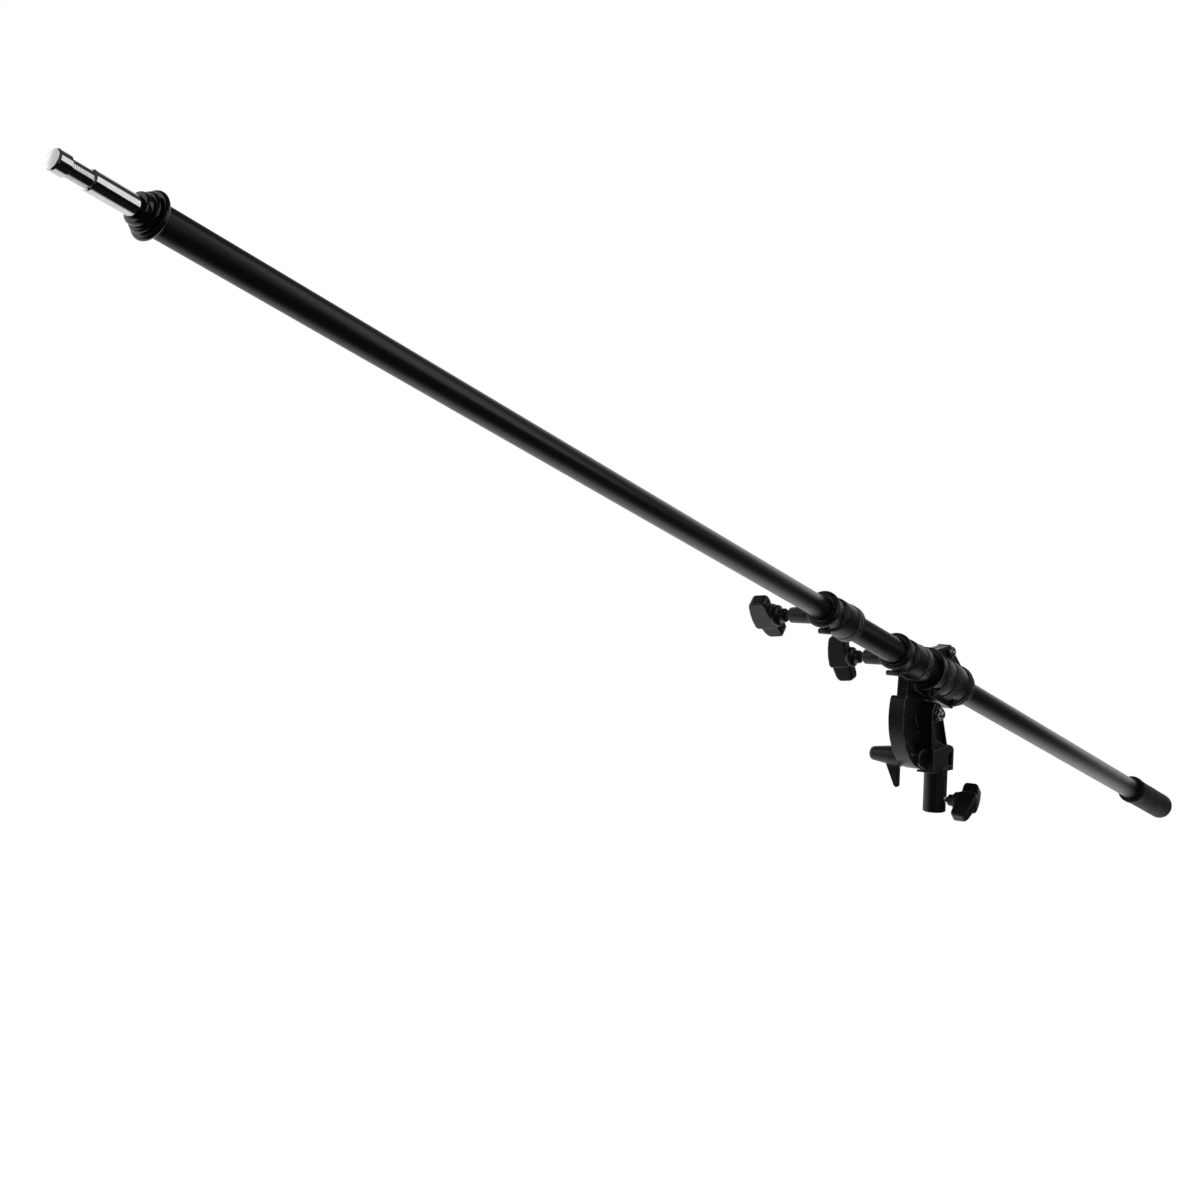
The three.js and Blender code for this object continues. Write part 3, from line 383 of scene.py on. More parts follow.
def hand_over(piece, body, slot, material, *nodes):
    """Gives a finished piece its material and its body, and hides the CAD nodes that it stands for. Its slot
    is not used.
    """
    dress(piece, material)
    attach(piece, body)
    if nodes:
        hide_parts(*nodes)


# Its grey edge colour is partly wear and partly a painted highlight, light glinting on the rounded cast
# edges.
cast_black = finish_of("cast_powder_coat", (0.009, 0.009, 0.0093), (0.3, 0.3, 0.3), (0.3, 0.44),
                       skin=1400, depth=0.05, patch=45, edge=0.8, relief=1.0, Specular_IOR_Level=0.4)

receiver_radius, receiver_height, receiver_knob = 14.5, 53, 17
block_half, block_front, block_rear, block_top = 12, 28.5, -27.5, 82
arm_half, arm_radius, arm_foot = 9.3, 14.5, -14
pivot_x, pivot_z = 20.5, 127
lock_x, lock_z, lock_radius = 40.5, 72, 11
sector_radius, sweep_gap = 71, 0.8
socket_radius, socket_depth = 8.15, 45

receiver = put(turned("base_casting_look", [
    (0, 0), (0, receiver_radius - 1.2), (1.2, receiver_radius), (receiver_height + 4, receiver_radius),
    (receiver_height + 4, 0)]), Matrix.Rotation(-math.pi / 2, 4, "Y"))
body_block = slab("block", [
    (block_front + 2, receiver_height), (block_front + 4, block_top - 2), (block_front + 2, block_top),
    (arm_foot, block_top + 3), (block_rear + 4, block_top), (block_rear, block_top - 4),
    (block_rear, receiver_height - 2)], -block_half, block_half)
lean = math.degrees(math.atan2(pivot_x + arm_radius - block_front, pivot_z - receiver_height))
rear_lean = math.degrees(math.atan2(pivot_x - arm_radius - arm_foot, pivot_z - block_top))
arm_outline = [(arm_foot, receiver_height + 3), (block_front, receiver_height + 3),
               *arc(pivot_x, pivot_z, arm_radius, -lean, 180 - rear_lean, 24), (arm_foot, block_top)]
arm = slab("arm", arm_outline, -arm_half, arm_half)
lug = slab("lug", [(0, lock_z + lock_radius), (0, receiver_height + 3), (block_front, receiver_height + 3),
                   *arc(lock_x, lock_z, lock_radius, -90, 90, 20)], -arm_half, 1)
rib = block("rib", (-4, 0, receiver_knob), (4, receiver_radius + 0.4, receiver_height + 3))
knob_boss = bar("knob_boss", 0, receiver_radius + 0.4, 4, "Y", (0, 0, receiver_knob))
base = weld(receiver, body_block, arm, lug, rib, knob_boss)
rear_margin, front_margin = 1.6, 7.5
pocket = slab("pocket", [
    (arm_foot + rear_margin, block_top + 1.5), (block_front - front_margin, block_top + 12),
    *arc(pivot_x, pivot_z, arm_radius - front_margin, -lean, 90, 14),
    *arc(pivot_x, pivot_z, arm_radius - rear_margin, 100, 180 - rear_lean, 12)], arm_half - 6.5, arm_half + 4)
pocket = cut(pocket, bar("nut_land", 0, 30, 11, "Y", (pivot_x, 0, pivot_z)))
recess = block("recess", (block_rear + 4.5, block_half - 5, receiver_height + 5),
               (block_rear + 17, block_half + 4, block_top - 7))
sweep_radius, lip_radius = sector_radius + sweep_gap, sector_radius - 7.6
sweep = turned("sweep", [(-block_half - 4, 0), (-block_half - 4, sweep_radius), (-2.9, sweep_radius),
                         (-2.9, lip_radius), (-arm_half - 0.05, lip_radius), (-arm_half - 0.05, 0)], 128)
cut(base,
    bar("socket", -2, socket_depth, socket_radius, "Z", (0, 0, 0)),
    put(sweep, Matrix.Translation((pivot_x * mm, 0, pivot_z * mm)) @ Matrix.Rotation(math.pi / 2, 4, "Z")),
    bar("pivot_hole", -30, 30, 5.3, "Y", (pivot_x, 0, pivot_z)),
    bar("stud_hole", -30, -1.2, 4.3, "Y", (lock_x, 0, lock_z)),
    bar("knob_hole", 0, 30, 3.9, "Y", (0, 0, receiver_knob)),
    pocket, recess)
cast(base, 0.55, 5)
hand_over(base, "base", "cast_black", cast_black, "base_casting")

# Tilt pivot: a zinc-plated M10 bolt through the sector and the arm, with a washer and a self-locking nut.
# The nut stands in the arm's pocket on the +Y side.
zinc = finish_of("bright_zinc", (0.62, 0.62, 0.6), (0.8, 0.8, 0.79), (0.16, 0.34),
                 skin=900, depth=0.01, patch=220, metal=1.0)


def smooth_by_angle(piece, angle):
    use(piece)
    bpy.ops.object.shade_smooth_by_angle(angle=math.radians(angle))
    return piece


def hex_nut(name, start, end, across, hole, sides=48):
    """A hexagon nut along X with turned-off corners, a bore and a raised locking collar."""
    corner = across / math.sqrt(3)
    open_piece()
    bpy.ops.mesh.primitive_cylinder_add(vertices=6, radius=corner * mm, depth=(end - start) * mm,
                                        location=((start + end) / 2 * mm, 0, 0), rotation=(0, math.pi / 2, 0))
    nut = bpy.context.object
    nut.name = name
    bpy.ops.object.transform_apply(location=True, rotation=True, scale=True)
    cone = corner - across / 2
    keep(nut, turned("turned_off", [(start, 0), (start, across / 2), (start + cone, corner),
                                    (end - cone, corner), (end, across / 2), (end, 0)], sides))
    weld(nut, turned("collar", [(end - 1, 0), (end - 1, across / 2 - 0.8), (end + 1.2, across / 2 - 1.2),
                                (end + 1.2, 0)], sides))
    cut(nut, turned("bore", [(start - 3, 0), (start - 3, hole), (end + 3, hole), (end + 3, 0)], sides))
    finish_with(nut, "BEVEL", width=0.35 * mm, segments=2, limit_method="ANGLE", angle_limit=math.radians(32))
    return smooth_by_angle(nut, 40)


def threaded_end(start, end, radius, pitch):
    """Profile points of a bolt's visible thread."""
    points = []
    at = start
    while at + pitch < end - 0.6:
        points += [(at, radius), (at + pitch / 2, radius - pitch * 0.45)]
        at += pitch
    return [*points, (end - 0.8, radius - 0.2), (end, radius - 0.9), (end, 0)]


def soften(piece, width, angle=30, segments=2):
    """Breaks a turned or milled piece's edges with a small bevel, and shades it smooth between them."""
    finish_with(piece, "BEVEL", width=width * mm, segments=segments, limit_method="ANGLE",
                angle_limit=math.radians(angle))
    return smooth_by_angle(piece, angle + 8)


at_pivot = Matrix.Translation(pivot) @ Matrix.Rotation(math.pi / 2, 4, "Z")
sector_back = 23.7
bolt = turned("pivot_bolt_look", [
    (-sector_back - 5.3, 0), (-sector_back - 5.3, 6.5), (-sector_back - 4, 8), (-sector_back - 0.3, 8),
    (-sector_back - 0.3, 5), (11, 5), *threaded_end(11.5, 18.4, 5, 1.0)], 64)
hand_over(put(soften(bolt, 0.25), at_pivot), "base", "zinc", zinc, "pivot_bolt")
washer = turned("pivot_washer_look", [(9.6, 5.3), (9.6, 8.6), (10.8, 8.6), (10.8, 5.3), (9.6, 5.3)], 64)
hand_over(put(soften(washer, 0.3), at_pivot), "base", "zinc", zinc, "pivot_washer")
pivot_nut = hex_nut("pivot_nut_look", 11.1, 15.4, 15.2, 5.05)
hand_over(put(pivot_nut, at_pivot), "base", "zinc", zinc, "pivot_nut")

# Swivel body: the slotted tilt sector, its neck and the far half of the boom clamp in one aluminium casting.
# The sector has a rim on the arm's side, shallow pockets and the curved slot that the lock stud runs in.
sector_face, sector_thick = -9.6, 14.1
sector_front, sector_rear, sector_corner = 6, -137, 6
rim_width, rim_depth = 7, 6.4
slot_radius, slot_half, slot_front, slot_rear = 58.52, 4.4, -20, -120
clamp_bore, clamp_radius, clamp_front, clamp_rear = 20, 24.5, 40, -56
split = 0.4
bolt_hole = 3.3
top_point, lower_points = ("top", -8, 33.5), (("front", 23.5, -25.5), ("rear", -39.5, -25.5))


def ring_sector(name, inner, outer, start, end, low, high, corner=0.0, steps=48):
    """A flat sector or part of a ring about the pivot, with its outer corner at the start rounded."""
    inside = arc(0, 0, inner, end, start, steps) if inner > 0 else [(0.4, 0.9)]
    turn_in = math.degrees(math.asin(corner / (outer - corner)))
    at_corner = math.radians(start - turn_in)
    middle = [(outer - corner) * math.cos(at_corner), (outer - corner) * math.sin(at_corner)]
    rounding = arc(*middle, corner, start + 90, start - turn_in, 8)[:-1] if corner > 0 else []
    return slab(name, [*rounding, *arc(0, 0, outer, start - turn_in, end, steps), *inside], low, high)


def arc_slot(name, low, high):
    end_angle, start_angle = math.radians(slot_rear), math.radians(slot_front)
    ends = [(slot_radius * math.cos(a), slot_radius * math.sin(a)) for a in (end_angle, start_angle)]
    outline = [*arc(0, 0, slot_radius + slot_half, slot_front, slot_rear, 40),
               *arc(*ends[0], slot_half, slot_rear, slot_rear - 180, 10)[1:-1],
               *arc(0, 0, slot_radius - slot_half, slot_rear, slot_front, 40),
               *arc(*ends[1], slot_half, slot_front + 180, slot_front, 10)[1:-1]]
    return slab(name, outline, low, high)


def clamp_barrel(name):
    """The clamp's barrel with its ring ribs, along the boom and solid inside."""
    ribs = [(40, 37.4, 3.4), (37, 20.6, 0.9), (18.6, 15, 1.9), (13.6, 10, 2), (8.6, 5.6, 1.8),
            (4.6, -6.6, 0.8), (-8.4, -13, 1.8), (-14.6, -19.2, 1.9), (-20.8, -25.4, 1.8), (-26.6, -44, 0.9),
            (-46.6, -50.4, 2.2), (-51.8, -56, 2.8)]
    profile = [(clamp_front, 0)]
    for start, end, proud in ribs:
        profile += [(start, clamp_radius - 0.2), (start, clamp_radius + proud - 0.4),
                    (start - 0.5, clamp_radius + proud), (end + 0.5, clamp_radius + proud),
                    (end, clamp_radius + proud - 0.4), (end, clamp_radius - 0.2)]
    return turned(name, [*profile, (clamp_rear, 0)])


def neck(name, bottom, rear_rise, low, high, spread=0.0):
    top = boom_rise / mm - 12 + spread
    return slab(name, [(53 + spread, bottom), (61.5 + spread, top), (-42 - spread, top),
                       (-38 - spread, bottom + rear_rise), (-15, bottom)], low, high)


def top_ear(low, high):
    middle = (clamp_front + clamp_rear) / 2
    return slab("top_ear", [(middle + 42, clamp_bore + 1), (middle + 42, clamp_radius + 1),
                            *arc(middle, 34, 9, 40, 140, 12),
                            (middle - 42, clamp_radius + 1), (middle - 42, clamp_bore + 1)], low, high)


def lower_ear(low, high):
    middle = (clamp_front + clamp_rear) / 2
    near_end = [(middle + 40.7, -clamp_bore), (middle + 38, -30.5), (middle + 35, -32.5)]
    far_end = [(middle - 35, -32.5), (middle - 38, -30.5), (middle - 40.7, -clamp_bore)]
    return slab("lower_ear", [*near_end, *far_end], low, high)


def clamp_holes(rise):
    """Cutters for the clamp's bolt and its two screws, as high as the boom lies."""
    return [bar(f"{name}_hole", -40, 40, bolt_hole, "Y", (along, 0, rise + up))
            for name, along, up in (top_point, *lower_points)]


lift_to_boom = Matrix.Translation((0, 0, boom_rise))
swivel = ring_sector("swivel_body_look", 0, sector_radius, sector_front, sector_rear,
                     sector_face - sector_thick, sector_face, sector_corner)
far_half = keep(clamp_barrel("far_half"), block("far_side", (-70, -60, -60), (60, -split, 60)))
weld(far_half, top_ear(-8, -split), lower_ear(-8, -split))
weld(swivel,
     ring_sector("rim", sector_radius - rim_width, sector_radius, sector_front, sector_rear,
                 sector_face - 1, sector_face + rim_depth, sector_corner),
     bar("hub", sector_face - sector_thick + 0.2, sector_face - 0.2, 15, "Y", (0, 0, 0)),
     neck("neck_low", 0, 15, sector_face - sector_thick + 0.1, sector_face - 0.1),
     neck("neck_high", 17, 0.1, sector_face - 4, -split - 0.1, 0.2),
     put(far_half, lift_to_boom))
boom_bore = [(-70, 0), (-70, clamp_bore), (39, clamp_bore), (39, 23.6), (70, 23.6), (70, 0)]
cut(swivel,
    put(turned("bore", boom_bore), lift_to_boom),
    arc_slot("slot", -30, 0),
    ring_sector("face_pocket", 22, 47, -20, -140, sector_face - 3, sector_face + 4),
    ring_sector("back_pocket", 22, 47, -20, -140, -30, sector_face - sector_thick + 3),
    bar("pivot_hole", -40, 10, 5.3, "Y", (0, 0, 0)),
    *clamp_holes(boom_rise / mm))
cast(swivel, 0.62, 3)
hand_over(put(swivel, at_head), "head", "cast_black", cast_black, "swivel_body")

# Clamp cap: the near half of the boom clamp, ribbed like the far half, with an ear above and a flange below.
# It is cast with the swivel body and drawn up with a bolt and two screws.
cap = keep(clamp_barrel("clamp_cap_look"), block("near_side", (-70, split, -60), (60, 60, 60)))
weld(cap, top_ear(split, 8), lower_ear(split, 8))
cut(cap,
    bar("bore", -80, 80, clamp_bore, "X", (0, 0, 0), 96),
    *clamp_holes(0),
    *[bar(f"{name}_seat", 8, 40, 6.4, "Y", (along, 0, up)) for name, along, up in lower_points])
cast(cap, 0.55, 3)
hand_over(put(cap, at_boom), "head", "cast_black", cast_black, "clamp_cap")

# Clamp fasteners: a zinc-plated bolt with its nut on the top ear, and two blackened socket screws below.
# The screws sit in round seats in the lower flange.
# Its grey edge colour is partly wear and partly a painted highlight on the screws' edges.
blackened = finish_of("blackened_steel", (0.02, 0.02, 0.02), (0.4, 0.4, 0.4), (0.24, 0.36),
                      skin=900, depth=0.01, patch=150, edge=0.6)


def at_clamp(point):
    """The place of a clamp fastener, with its own X axis across the clamp."""
    along, up = point[1:]
    return at_boom @ Matrix.Translation((along * mm, 0, up * mm)) @ Matrix.Rotation(math.pi / 2, 4, "Z")


top_bolt = turned("clamp_top_bolt_look", [
    (-13.3, 0), (-13.3, 4.6), (-12.3, 5.6), (-8.3, 5.6), (-8.3, 3), (10, 3),
    *threaded_end(10.5, 15.1, 3, 0.8)], 48)
hand_over(put(soften(top_bolt, 0.2), at_clamp(top_point)), "head", "zinc", zinc, "clamp_top_bolt")
top_nut = hex_nut("clamp_top_nut_look", 8.3, 13, 13.2, 3.05)
hand_over(put(top_nut, at_clamp(top_point)), "head", "zinc", zinc, "clamp_top_nut")
for point in lower_points:
    name = f"clamp_screw_{point[0]}"
    screw = turned(f"{name}_look", [
        (-7, 0), (-7, 3), (8.3, 3), (8.3, 4.6), (12.4, 4.6), (12.9, 4.1), (12.9, 0)], 48)
    open_piece()
    bpy.ops.mesh.primitive_cylinder_add(vertices=6, radius=2.6 * mm, depth=6 * mm, location=(13.4 * mm, 0, 0),
                                        rotation=(0, math.pi / 2, 0))
    cut(screw, bpy.context.object)
    hand_over(put(soften(screw, 0.2), at_clamp(point)), "head", "screw_black", blackened, name)

# Collars: turned aluminium sleeves with a rim, a waist and a ringed barrel, powder coated with the castings.
# Each has a boss for its knob's screw and a small round nub below it.
# Its light grey edge colour is partly wear and partly a painted highlight, light glinting on the collars'
# rims and ribs.
turned_black = finish_of("turned_powder_coat", (0.009, 0.009, 0.0093), (0.6, 0.6, 0.6), (0.3, 0.44),
                         skin=1400, depth=0.03, patch=45, edge=0.9, Specular_IOR_Level=0.4)
boss_reach, boss_droop = 50, math.radians(6)
barrel_length, waist_length, rim_length = 44, 20, 6


def collar_outside(rear, waist):
    step = rear + barrel_length
    front = step + waist_length + rim_length
    """The outer profile of a collar of a given waist: two rings, the barrel, the waist and the rim."""
    rings = [(rear, 2.6), (rear + 0.9, 3.5), (rear + 6, 3.5), (rear + 6.4, 3.1), (rear + 7, 3.1),
             (rear + 7.4, 3.5), (rear + 12, 3.5), (rear + 12.8, 2.6)]
    shoulder = [(step - 3, 2.6), (step - 1.4, 2.3), (step - 0.3, 1.5), (step, 0.5), (step + 0.6, 0)]
    rim = [(front - 7.2, 0), (front - 6.2, 0.5), (front - 5.6, 2.6), (front - 5, 3.1),
           (front - 2.8, 3.1), (front - 2.2, 2.9), (front - 0.4, 1.1), (front, 0.5)]
    return [(along, waist + proud) for along, proud in (*rings, *shoulder, *rim)]


def boss_and_nub(station, waist, nub_reach):
    far_y = Matrix.Rotation(-math.pi / 2, 4, "Z")
    place = Matrix.Translation((station * mm, 0, 0))
    boss = turned("boss", [
        (0, 0), (0, 13), (waist, 13), (waist + 2.2, 11.8), (waist + 5, 11), (waist + 9, 10.6),
        (boss_reach - 1.4, 9), (boss_reach - 0.4, 8.6), (boss_reach, 7.8), (boss_reach, 0)], 64)
    nub = turned("nub", [(-3, 0), (-3, 3.3), (nub_reach - 1.6, 3.3), (nub_reach - 0.5, 2.6), (nub_reach, 1.4),
                         (nub_reach, 0)], 32)
    put(boss, place @ Matrix.Rotation(boss_droop, 4, "X") @ far_y)
    put(nub, place @ Matrix.Translation((0, 0, -(waist + 3) * mm)) @ far_y)
    return boss, nub


def boss_bore(station):
    hole = turned("boss_bore", [(0, 0), (0, 3.9), (60, 3.9), (60, 0)], 32)
    return put(hole, Matrix.Translation((station * mm, 0, 0)) @ Matrix.Rotation(boss_droop, 4, "X")
               @ Matrix.Rotation(-math.pi / 2, 4, "Z"))


collar_length = barrel_length + waist_length + rim_length
tube_front = 286
tube_collar_rear, tube_knob_at = 255.8, 303.4
tube_collar_front = tube_collar_rear + collar_length
tube_collar = turned("tube_collar_look", [(tube_collar_rear, 0), *collar_outside(tube_collar_rear, 18),
                                          (tube_collar_front, 0)], 128)
weld(tube_collar, *boss_and_nub(tube_knob_at, 18, 11))
tube_bush_at = 313.1
cut(tube_collar, turned("bore", [
    (tube_collar_rear - 2, 0), (tube_collar_rear - 2, 15.8), (tube_front + 0.3, 15.8), (tube_front + 0.3, 13),
    (tube_bush_at, 13), (tube_bush_at, 14.6), (tube_collar_front + 2, 14.6), (tube_collar_front + 2, 0)], 96),
    boss_bore(tube_knob_at))
smooth_by_angle(tube_collar, 34)
hand_over(put(tube_collar, at_boom), "fixed_section", "cast_black", turned_black, "tube_collar")

sleeve_rear, sleeve_collar_rear, sleeve_knob_at, sleeve_bush_at = -63, 62, 106, 115.7
sleeve_front = sleeve_collar_rear + collar_length
sleeve = turned("sliding_sleeve_look", [(sleeve_rear, 0), (sleeve_rear, 19.7), (sleeve_collar_rear, 19.7),
                                        *collar_outside(sleeve_collar_rear, 19.6), (sleeve_front, 0)], 128)
weld(sleeve, *boss_and_nub(sleeve_knob_at, 19.6, 17.5))
cut(sleeve, turned("bore", [
    (sleeve_rear - 2, 0), (sleeve_rear - 2, 17.6), (sleeve_rear + 10.3, 17.6), (sleeve_rear + 10.3, 16),
    (sleeve_bush_at, 16), (sleeve_bush_at, 17.6), (sleeve_front + 2, 17.6), (sleeve_front + 2, 0)], 96),
    boss_bore(sleeve_knob_at))
smooth_by_angle(sleeve, 34)
hand_over(put(sleeve, at_boom), "head", "cast_black", turned_black, "sliding_sleeve")
ring = turned("sleeve_ring_look", [(-63, 20), (-63, 25.5), (-56.3, 25.5), (-56.3, 20), (-63, 20)], 96)
hand_over(put(soften(ring, 1.0), at_boom), "head", "cast_black", turned_black, "sleeve_ring")

# Guide bushes: black acetal rings in the ends of the sleeve and the collar, and on the inner tube's rear.
# Only their rims show, round the tubes.
acetal = finish_of("black_acetal", (0.014, 0.014, 0.014), (0.03, 0.03, 0.03), (0.42, 0.55),
                   skin=700, depth=0.01, patch=90)
for name in ("sleeve_bush_front", "sleeve_bush_rear", "collar_bush", "inner_rear_bush"):
    dress(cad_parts[name], acetal)

# Tubes: two drawn tubes in satin black paint, the 25 mm one sliding in the 31 mm one.
# Fine drawing lines run along them, and their ends are cut square with broken edges.
tube_black = finish_of("tube_satin_paint", (0.01, 0.01, 0.0102), (0.03, 0.03, 0.03), (0.3, 0.4),
                       skin=900, depth=0.006, patch=30, stretch=(0.02, 1, 1), Specular_IOR_Level=0.4)


def tube(name, rear, front, bore, radius):
    ends = [(rear, bore), (rear, radius), (front, radius), (front, bore), (rear, bore)]
    return soften(turned(name, ends, 128), 0.4)


outer = tube("outer_tube_look", -941, tube_front, 13, 15.5)
hand_over(put(outer, at_boom), "fixed_section", "tube_black", tube_black, "outer_tube")
inner = tube("inner_tube_look", 62.5, 1332.5, 11, 12.5)
hand_over(put(inner, at_boom), "extension", "tube_black", tube_black, "inner_tube")

# Rear plug and grip: a moulded plug closes the outer tube, and a rubber grip with a lip covers it.
# The grip's front edge is bevelled and its end is rounded.
# Its slightly lighter edge colour is partly wear and partly a painted highlight on the moulded edges.
moulded = finish_of("moulded_plastic", (0.008, 0.008, 0.008), (0.06, 0.06, 0.06), (0.34, 0.46),
                    skin=2200, depth=0.035, patch=70, edge=0.8, relief=1.0)
rubber = finish_of("grip_rubber", (0.006, 0.006, 0.006), (0.02, 0.02, 0.02), (0.62, 0.8),
                   skin=1300, depth=0.09, patch=50)
dress(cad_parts["rear_plug"], moulded)
grip_front, grip_rear, grip_radius = -785, -950, 20.2
grip_profile = [(grip_rear, 0), (grip_rear, 5)]
for step in range(1, 11):
    angle = math.radians(9 * step)
    grip_profile.append((grip_rear + 10 * (1 - math.cos(angle)), 5 + (grip_radius - 5) * math.sin(angle)))
grip_profile += [(grip_front - 12, grip_radius), (grip_front - 10, grip_radius + 0.3),
                 (grip_front - 8, grip_radius + 1.3), (grip_front - 2.2, grip_radius + 1.3),
                 (grip_front - 0.4, grip_radius + 0.4), (grip_front, grip_radius - 1.2), (grip_front, 15.8),
                 (-944.3, 15.8), (-944.3, 0)]
grip = smooth_by_angle(turned("rear_grip_look", grip_profile, 128), 40)
hand_over(put(grip, at_boom), "fixed_section", "rubber_black", rubber, "rear_grip")

# End cap: turned aluminium, polished and gloss black, stepped from a flange through a ring to a satin nose.
# It plugs the inner tube's front end and holds the spigot, with a cross pin through both.
# Its slightly lighter edge colour is partly wear and partly a painted highlight on the cap's rings.
gloss = finish_of("cap_gloss_black", (0.006, 0.006, 0.006), (0.05, 0.05, 0.05), (0.06, 0.12),
                  skin=500, depth=0.004, patch=120, edge=0.4)
cap_from = 1332.8
end_cap = turned("end_cap_look", [
    (cap_from - 36, 8.3), (cap_from - 36, 10.7), (cap_from, 10.7),
    *arc(cap_from + 2.3, 16.2, 2.3, 180, 0, 14), (cap_from + 4.6, 14.4), (cap_from + 5.2, 13.2),
    *arc(cap_from + 7.4, 13, 2.2, 180, 0, 14), (cap_from + 9.6, 12.1), (cap_from + 14.4, 12.1),
    (cap_from + 15.2, 11.7), (cap_from + 15.5, 11), (cap_from + 15.5, 8.3), (cap_from - 36, 8.3)], 128)
hand_over(put(smooth_by_angle(end_cap, 34), at_boom), "extension", "cap_black", gloss, "end_cap")

# Spigot: a 16 mm steel stud in bright chrome with a turned neck behind its head.
# Fine grooves run round the neck, which a lamp's clamping screw bites on.
chrome = finish_of("spigot_chrome", (0.56, 0.56, 0.57), (0.7, 0.7, 0.7), (0.04, 0.08),
                   skin=600, depth=0.003, patch=150, metal=1.0)
nose = cap_from + 15.5
neck_from, head_from, tip = nose + 41, nose + 59.6, nose + 70.6
spigot_profile = [(nose - 42, 0), (nose - 42, 8), (neck_from - 1.2, 8), (neck_from - 0.3, 7.4)]
groove_pitch = 1.55
at = neck_from
while at + groove_pitch < head_from:
    spigot_profile += [(at, 6.5), (at + groove_pitch * 0.55, 6.5), (at + groove_pitch * 0.7, 6.05),
                       (at + groove_pitch * 0.85, 6.05)]
    at += groove_pitch
spigot_profile += [(head_from, 6.5), (head_from, 7.6), (head_from + 0.4, 8), (tip - 1.3, 8), (tip - 0.2, 7.1),
                   (tip, 6.6), (tip, 0)]
spigot = turned("spigot_look", spigot_profile, 128)
hand_over(put(smooth_by_angle(spigot, 24), at_boom), "extension", "bright_chrome", chrome, "spigot")
dress(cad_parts["spigot_pin"], zinc)

# T-knobs: a fine-grained black plastic hub with two wings swept back to the boss, moulded on a steel screw.
# Each turns in its boss and presses a brass shoe on what it locks.
brass = finish_of("turned_brass", (0.55, 0.4, 0.16), (0.7, 0.55, 0.25), (0.22, 0.34),
                  skin=900, depth=0.01, patch=200, metal=1.0)
knob_from, knob_reach, knob_chord, knob_offset = 4.6, 30, 15.6, 3.2


def knob_wing(side):
    """One swept-back wing as a slab, set off to one side of the screw."""
    outline = [(19.3, -9), (19.3, 10), (20.2, 15), (19.4, 22), (20, 27), (22, knob_reach), (36, knob_reach),
               (39.6, 28.4), (42, 24), (44.4, 14), (45.8, 4), (45.8, -8), (43, -11), (26, -11)]
    piece = slab("wing", [(x, y * side) for x, y in outline], -knob_chord / 2, knob_chord / 2)
    put(piece, Matrix.Rotation(math.pi / 2, 4, "X"))
    soften(piece, 2.6, 28, 4)
    return put(piece, Matrix.Translation((0, 0, side * knob_offset * mm)))


def tee_knob(name):
    """The hub and both wings of a T-knob, moulded in one."""
    hub = turned(name, [
        (knob_from, 3.9), (knob_from, 5.8), (5.4, 7.2), (7, 8.1), (12.4, 8.3), (13.4, 9.4), (14.4, 11.6),
        (16, 12.5), (18.2, 12.7), (20.4, 11.8), (22, 11), (41, 11), (44.2, 9.4), (46, 6.2), (46.6, 2),
        (46.6, 0), (16.9, 0), (16.9, 3.9), (knob_from, 3.9)], 64)
    weld(hub, knob_wing(1), knob_wing(-1))
    return cast(hub, 0.5, 4)


def on_far_side(station, roll):
    """The place of a knob on a collar's boss, turned by its roll in degrees."""
    turn = math.pi + boss_droop
    boss_end = Vector((station, math.cos(turn) * boss_reach, math.sin(turn) * boss_reach)) * mm
    return (at_boom @ Matrix.Translation(boss_end) @ Matrix.Rotation(turn, 4, "X")
            @ Matrix.Rotation(math.pi / 2, 4, "Z") @ Matrix.Rotation(math.radians(roll), 4, "X"))


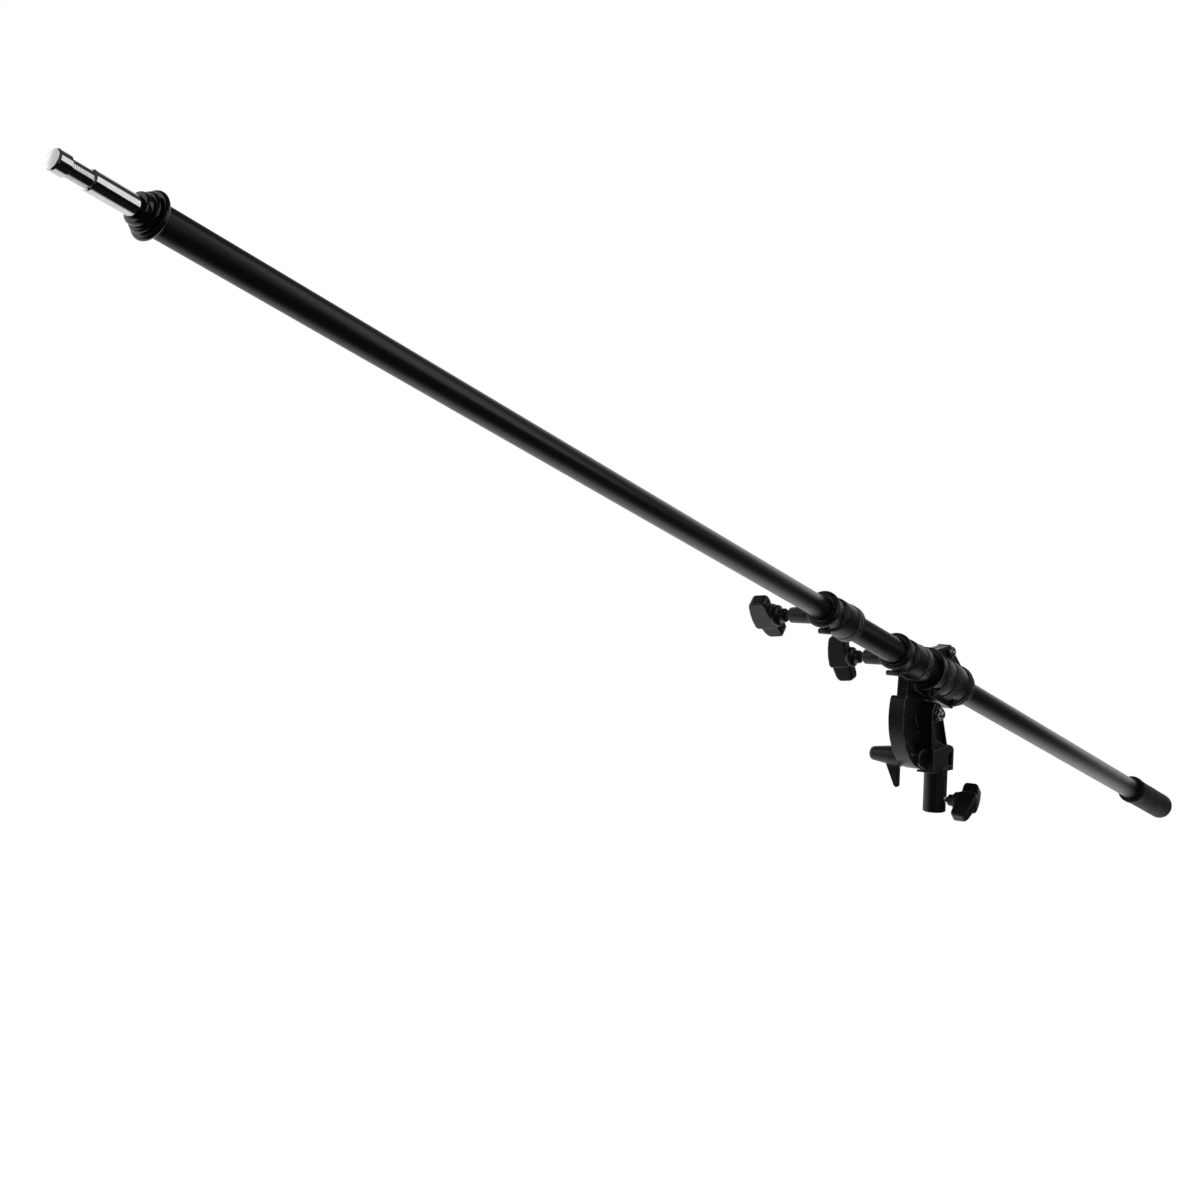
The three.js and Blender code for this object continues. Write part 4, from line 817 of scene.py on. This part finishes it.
at_knobs = {
    "collar": on_far_side(tube_knob_at, 31),
    "sleeve": on_far_side(sleeve_knob_at, 60),
    "receiver": (Matrix.Translation((0, 14.9 * mm, receiver_knob * mm)) @ Matrix.Rotation(math.pi / 2, 4, "Z")
                 @ Matrix.Rotation(math.radians(46), 4, "X")),
}
knob_sizes = {"collar": 1, "sleeve": 1, "receiver": 0.92}
screw_backs = {"collar": -33.2, "sleeve": -30.2, "receiver": -2.15}
knob_master = tee_knob("tee_knob_master")
for name, where in at_knobs.items():
    knob = knob_master.copy()
    knob.data = knob_master.data.copy()
    knob.name = f"{name}_knob_look"
    bpy.context.scene.collection.objects.link(knob)
    put(knob, where @ Matrix.Scale(knob_sizes[name], 4))
    hand_over(knob, f"{name}_tee", "knob_black", moulded, f"{name}_knob")
    screw = turned(f"{name}_screw_look", [
        (screw_backs[name], 0), (screw_backs[name], 3), (screw_backs[name] + 0.8, 3.6), (-0.6, 3.6),
        *threaded_end(-0.5, 6.0, 3.6, 1.0)[:-3], (6.5, 3.6), (16.6, 3.6), (16.6, 0)], 48)
    hand_over(put(smooth_by_angle(screw, 25), where), f"{name}_tee", "zinc", zinc, f"{name}_screw")
    dress(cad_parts[f"{name}_shoe"], brass)
bpy.data.objects.remove(knob_master)

# Tilt lock: a tapered moulded hub with a short blade, on a steel stud in the base's lug.
# Turning it presses a washer on the sector's back and holds the boom's tilt.
at_lock = Matrix.Translation(Vector((lock_x, 0, lock_z)) * mm) @ Matrix.Rotation(-math.pi / 2, 4, "Z")
hub_from = 25.9
hub_to = hub_from + 45
lever = turned("tilt_lever_look", [
    (hub_from, 4.3), (hub_from, 12.2), (hub_from + 1, 13.2), (hub_from + 16, 12.2), (hub_to - 4, 8.9),
    (hub_to - 1.4, 7.6), (hub_to, 5), (hub_to, 0), (hub_from + 30.5, 0), (hub_from + 30.5, 4.3),
    (hub_from, 4.3)], 64)
blade = slab("blade", [(hub_from + 5, 0), (hub_from + 24, 0), (hub_from + 24, -8), (hub_from + 10.6, -38.4),
                       (hub_from + 8, -40), (hub_from + 5.6, -39.4), (hub_from + 5, -37)], -4, 4)
blade = soften(blade, 1.6, 30, 3)
blade = cut(blade, bar("stud_room", 0, hub_from + 30.5, 4.3, "X", (0, 0, 0)))
weld(lever, blade)
cast(lever, 0.55, 4)
hand_over(put(lever, at_lock), "tilt_handle", "knob_black", moulded, "tilt_lever")
stud = soften(turned("tilt_stud_look", [(1.4, 0), (1.4, 4), (55.9, 4), (55.9, 0)], 48), 0.5)
hand_over(put(stud, at_lock), "base", "zinc", zinc, "tilt_stud")
thrust = turned("thrust_washer_look", [(24, 4.3), (24, 12.5), (25.6, 12.5), (25.6, 4.3), (24, 4.3)], 64)
hand_over(put(soften(thrust, 0.3), at_lock), "thrust", "zinc", zinc, "thrust_washer")

open_piece()
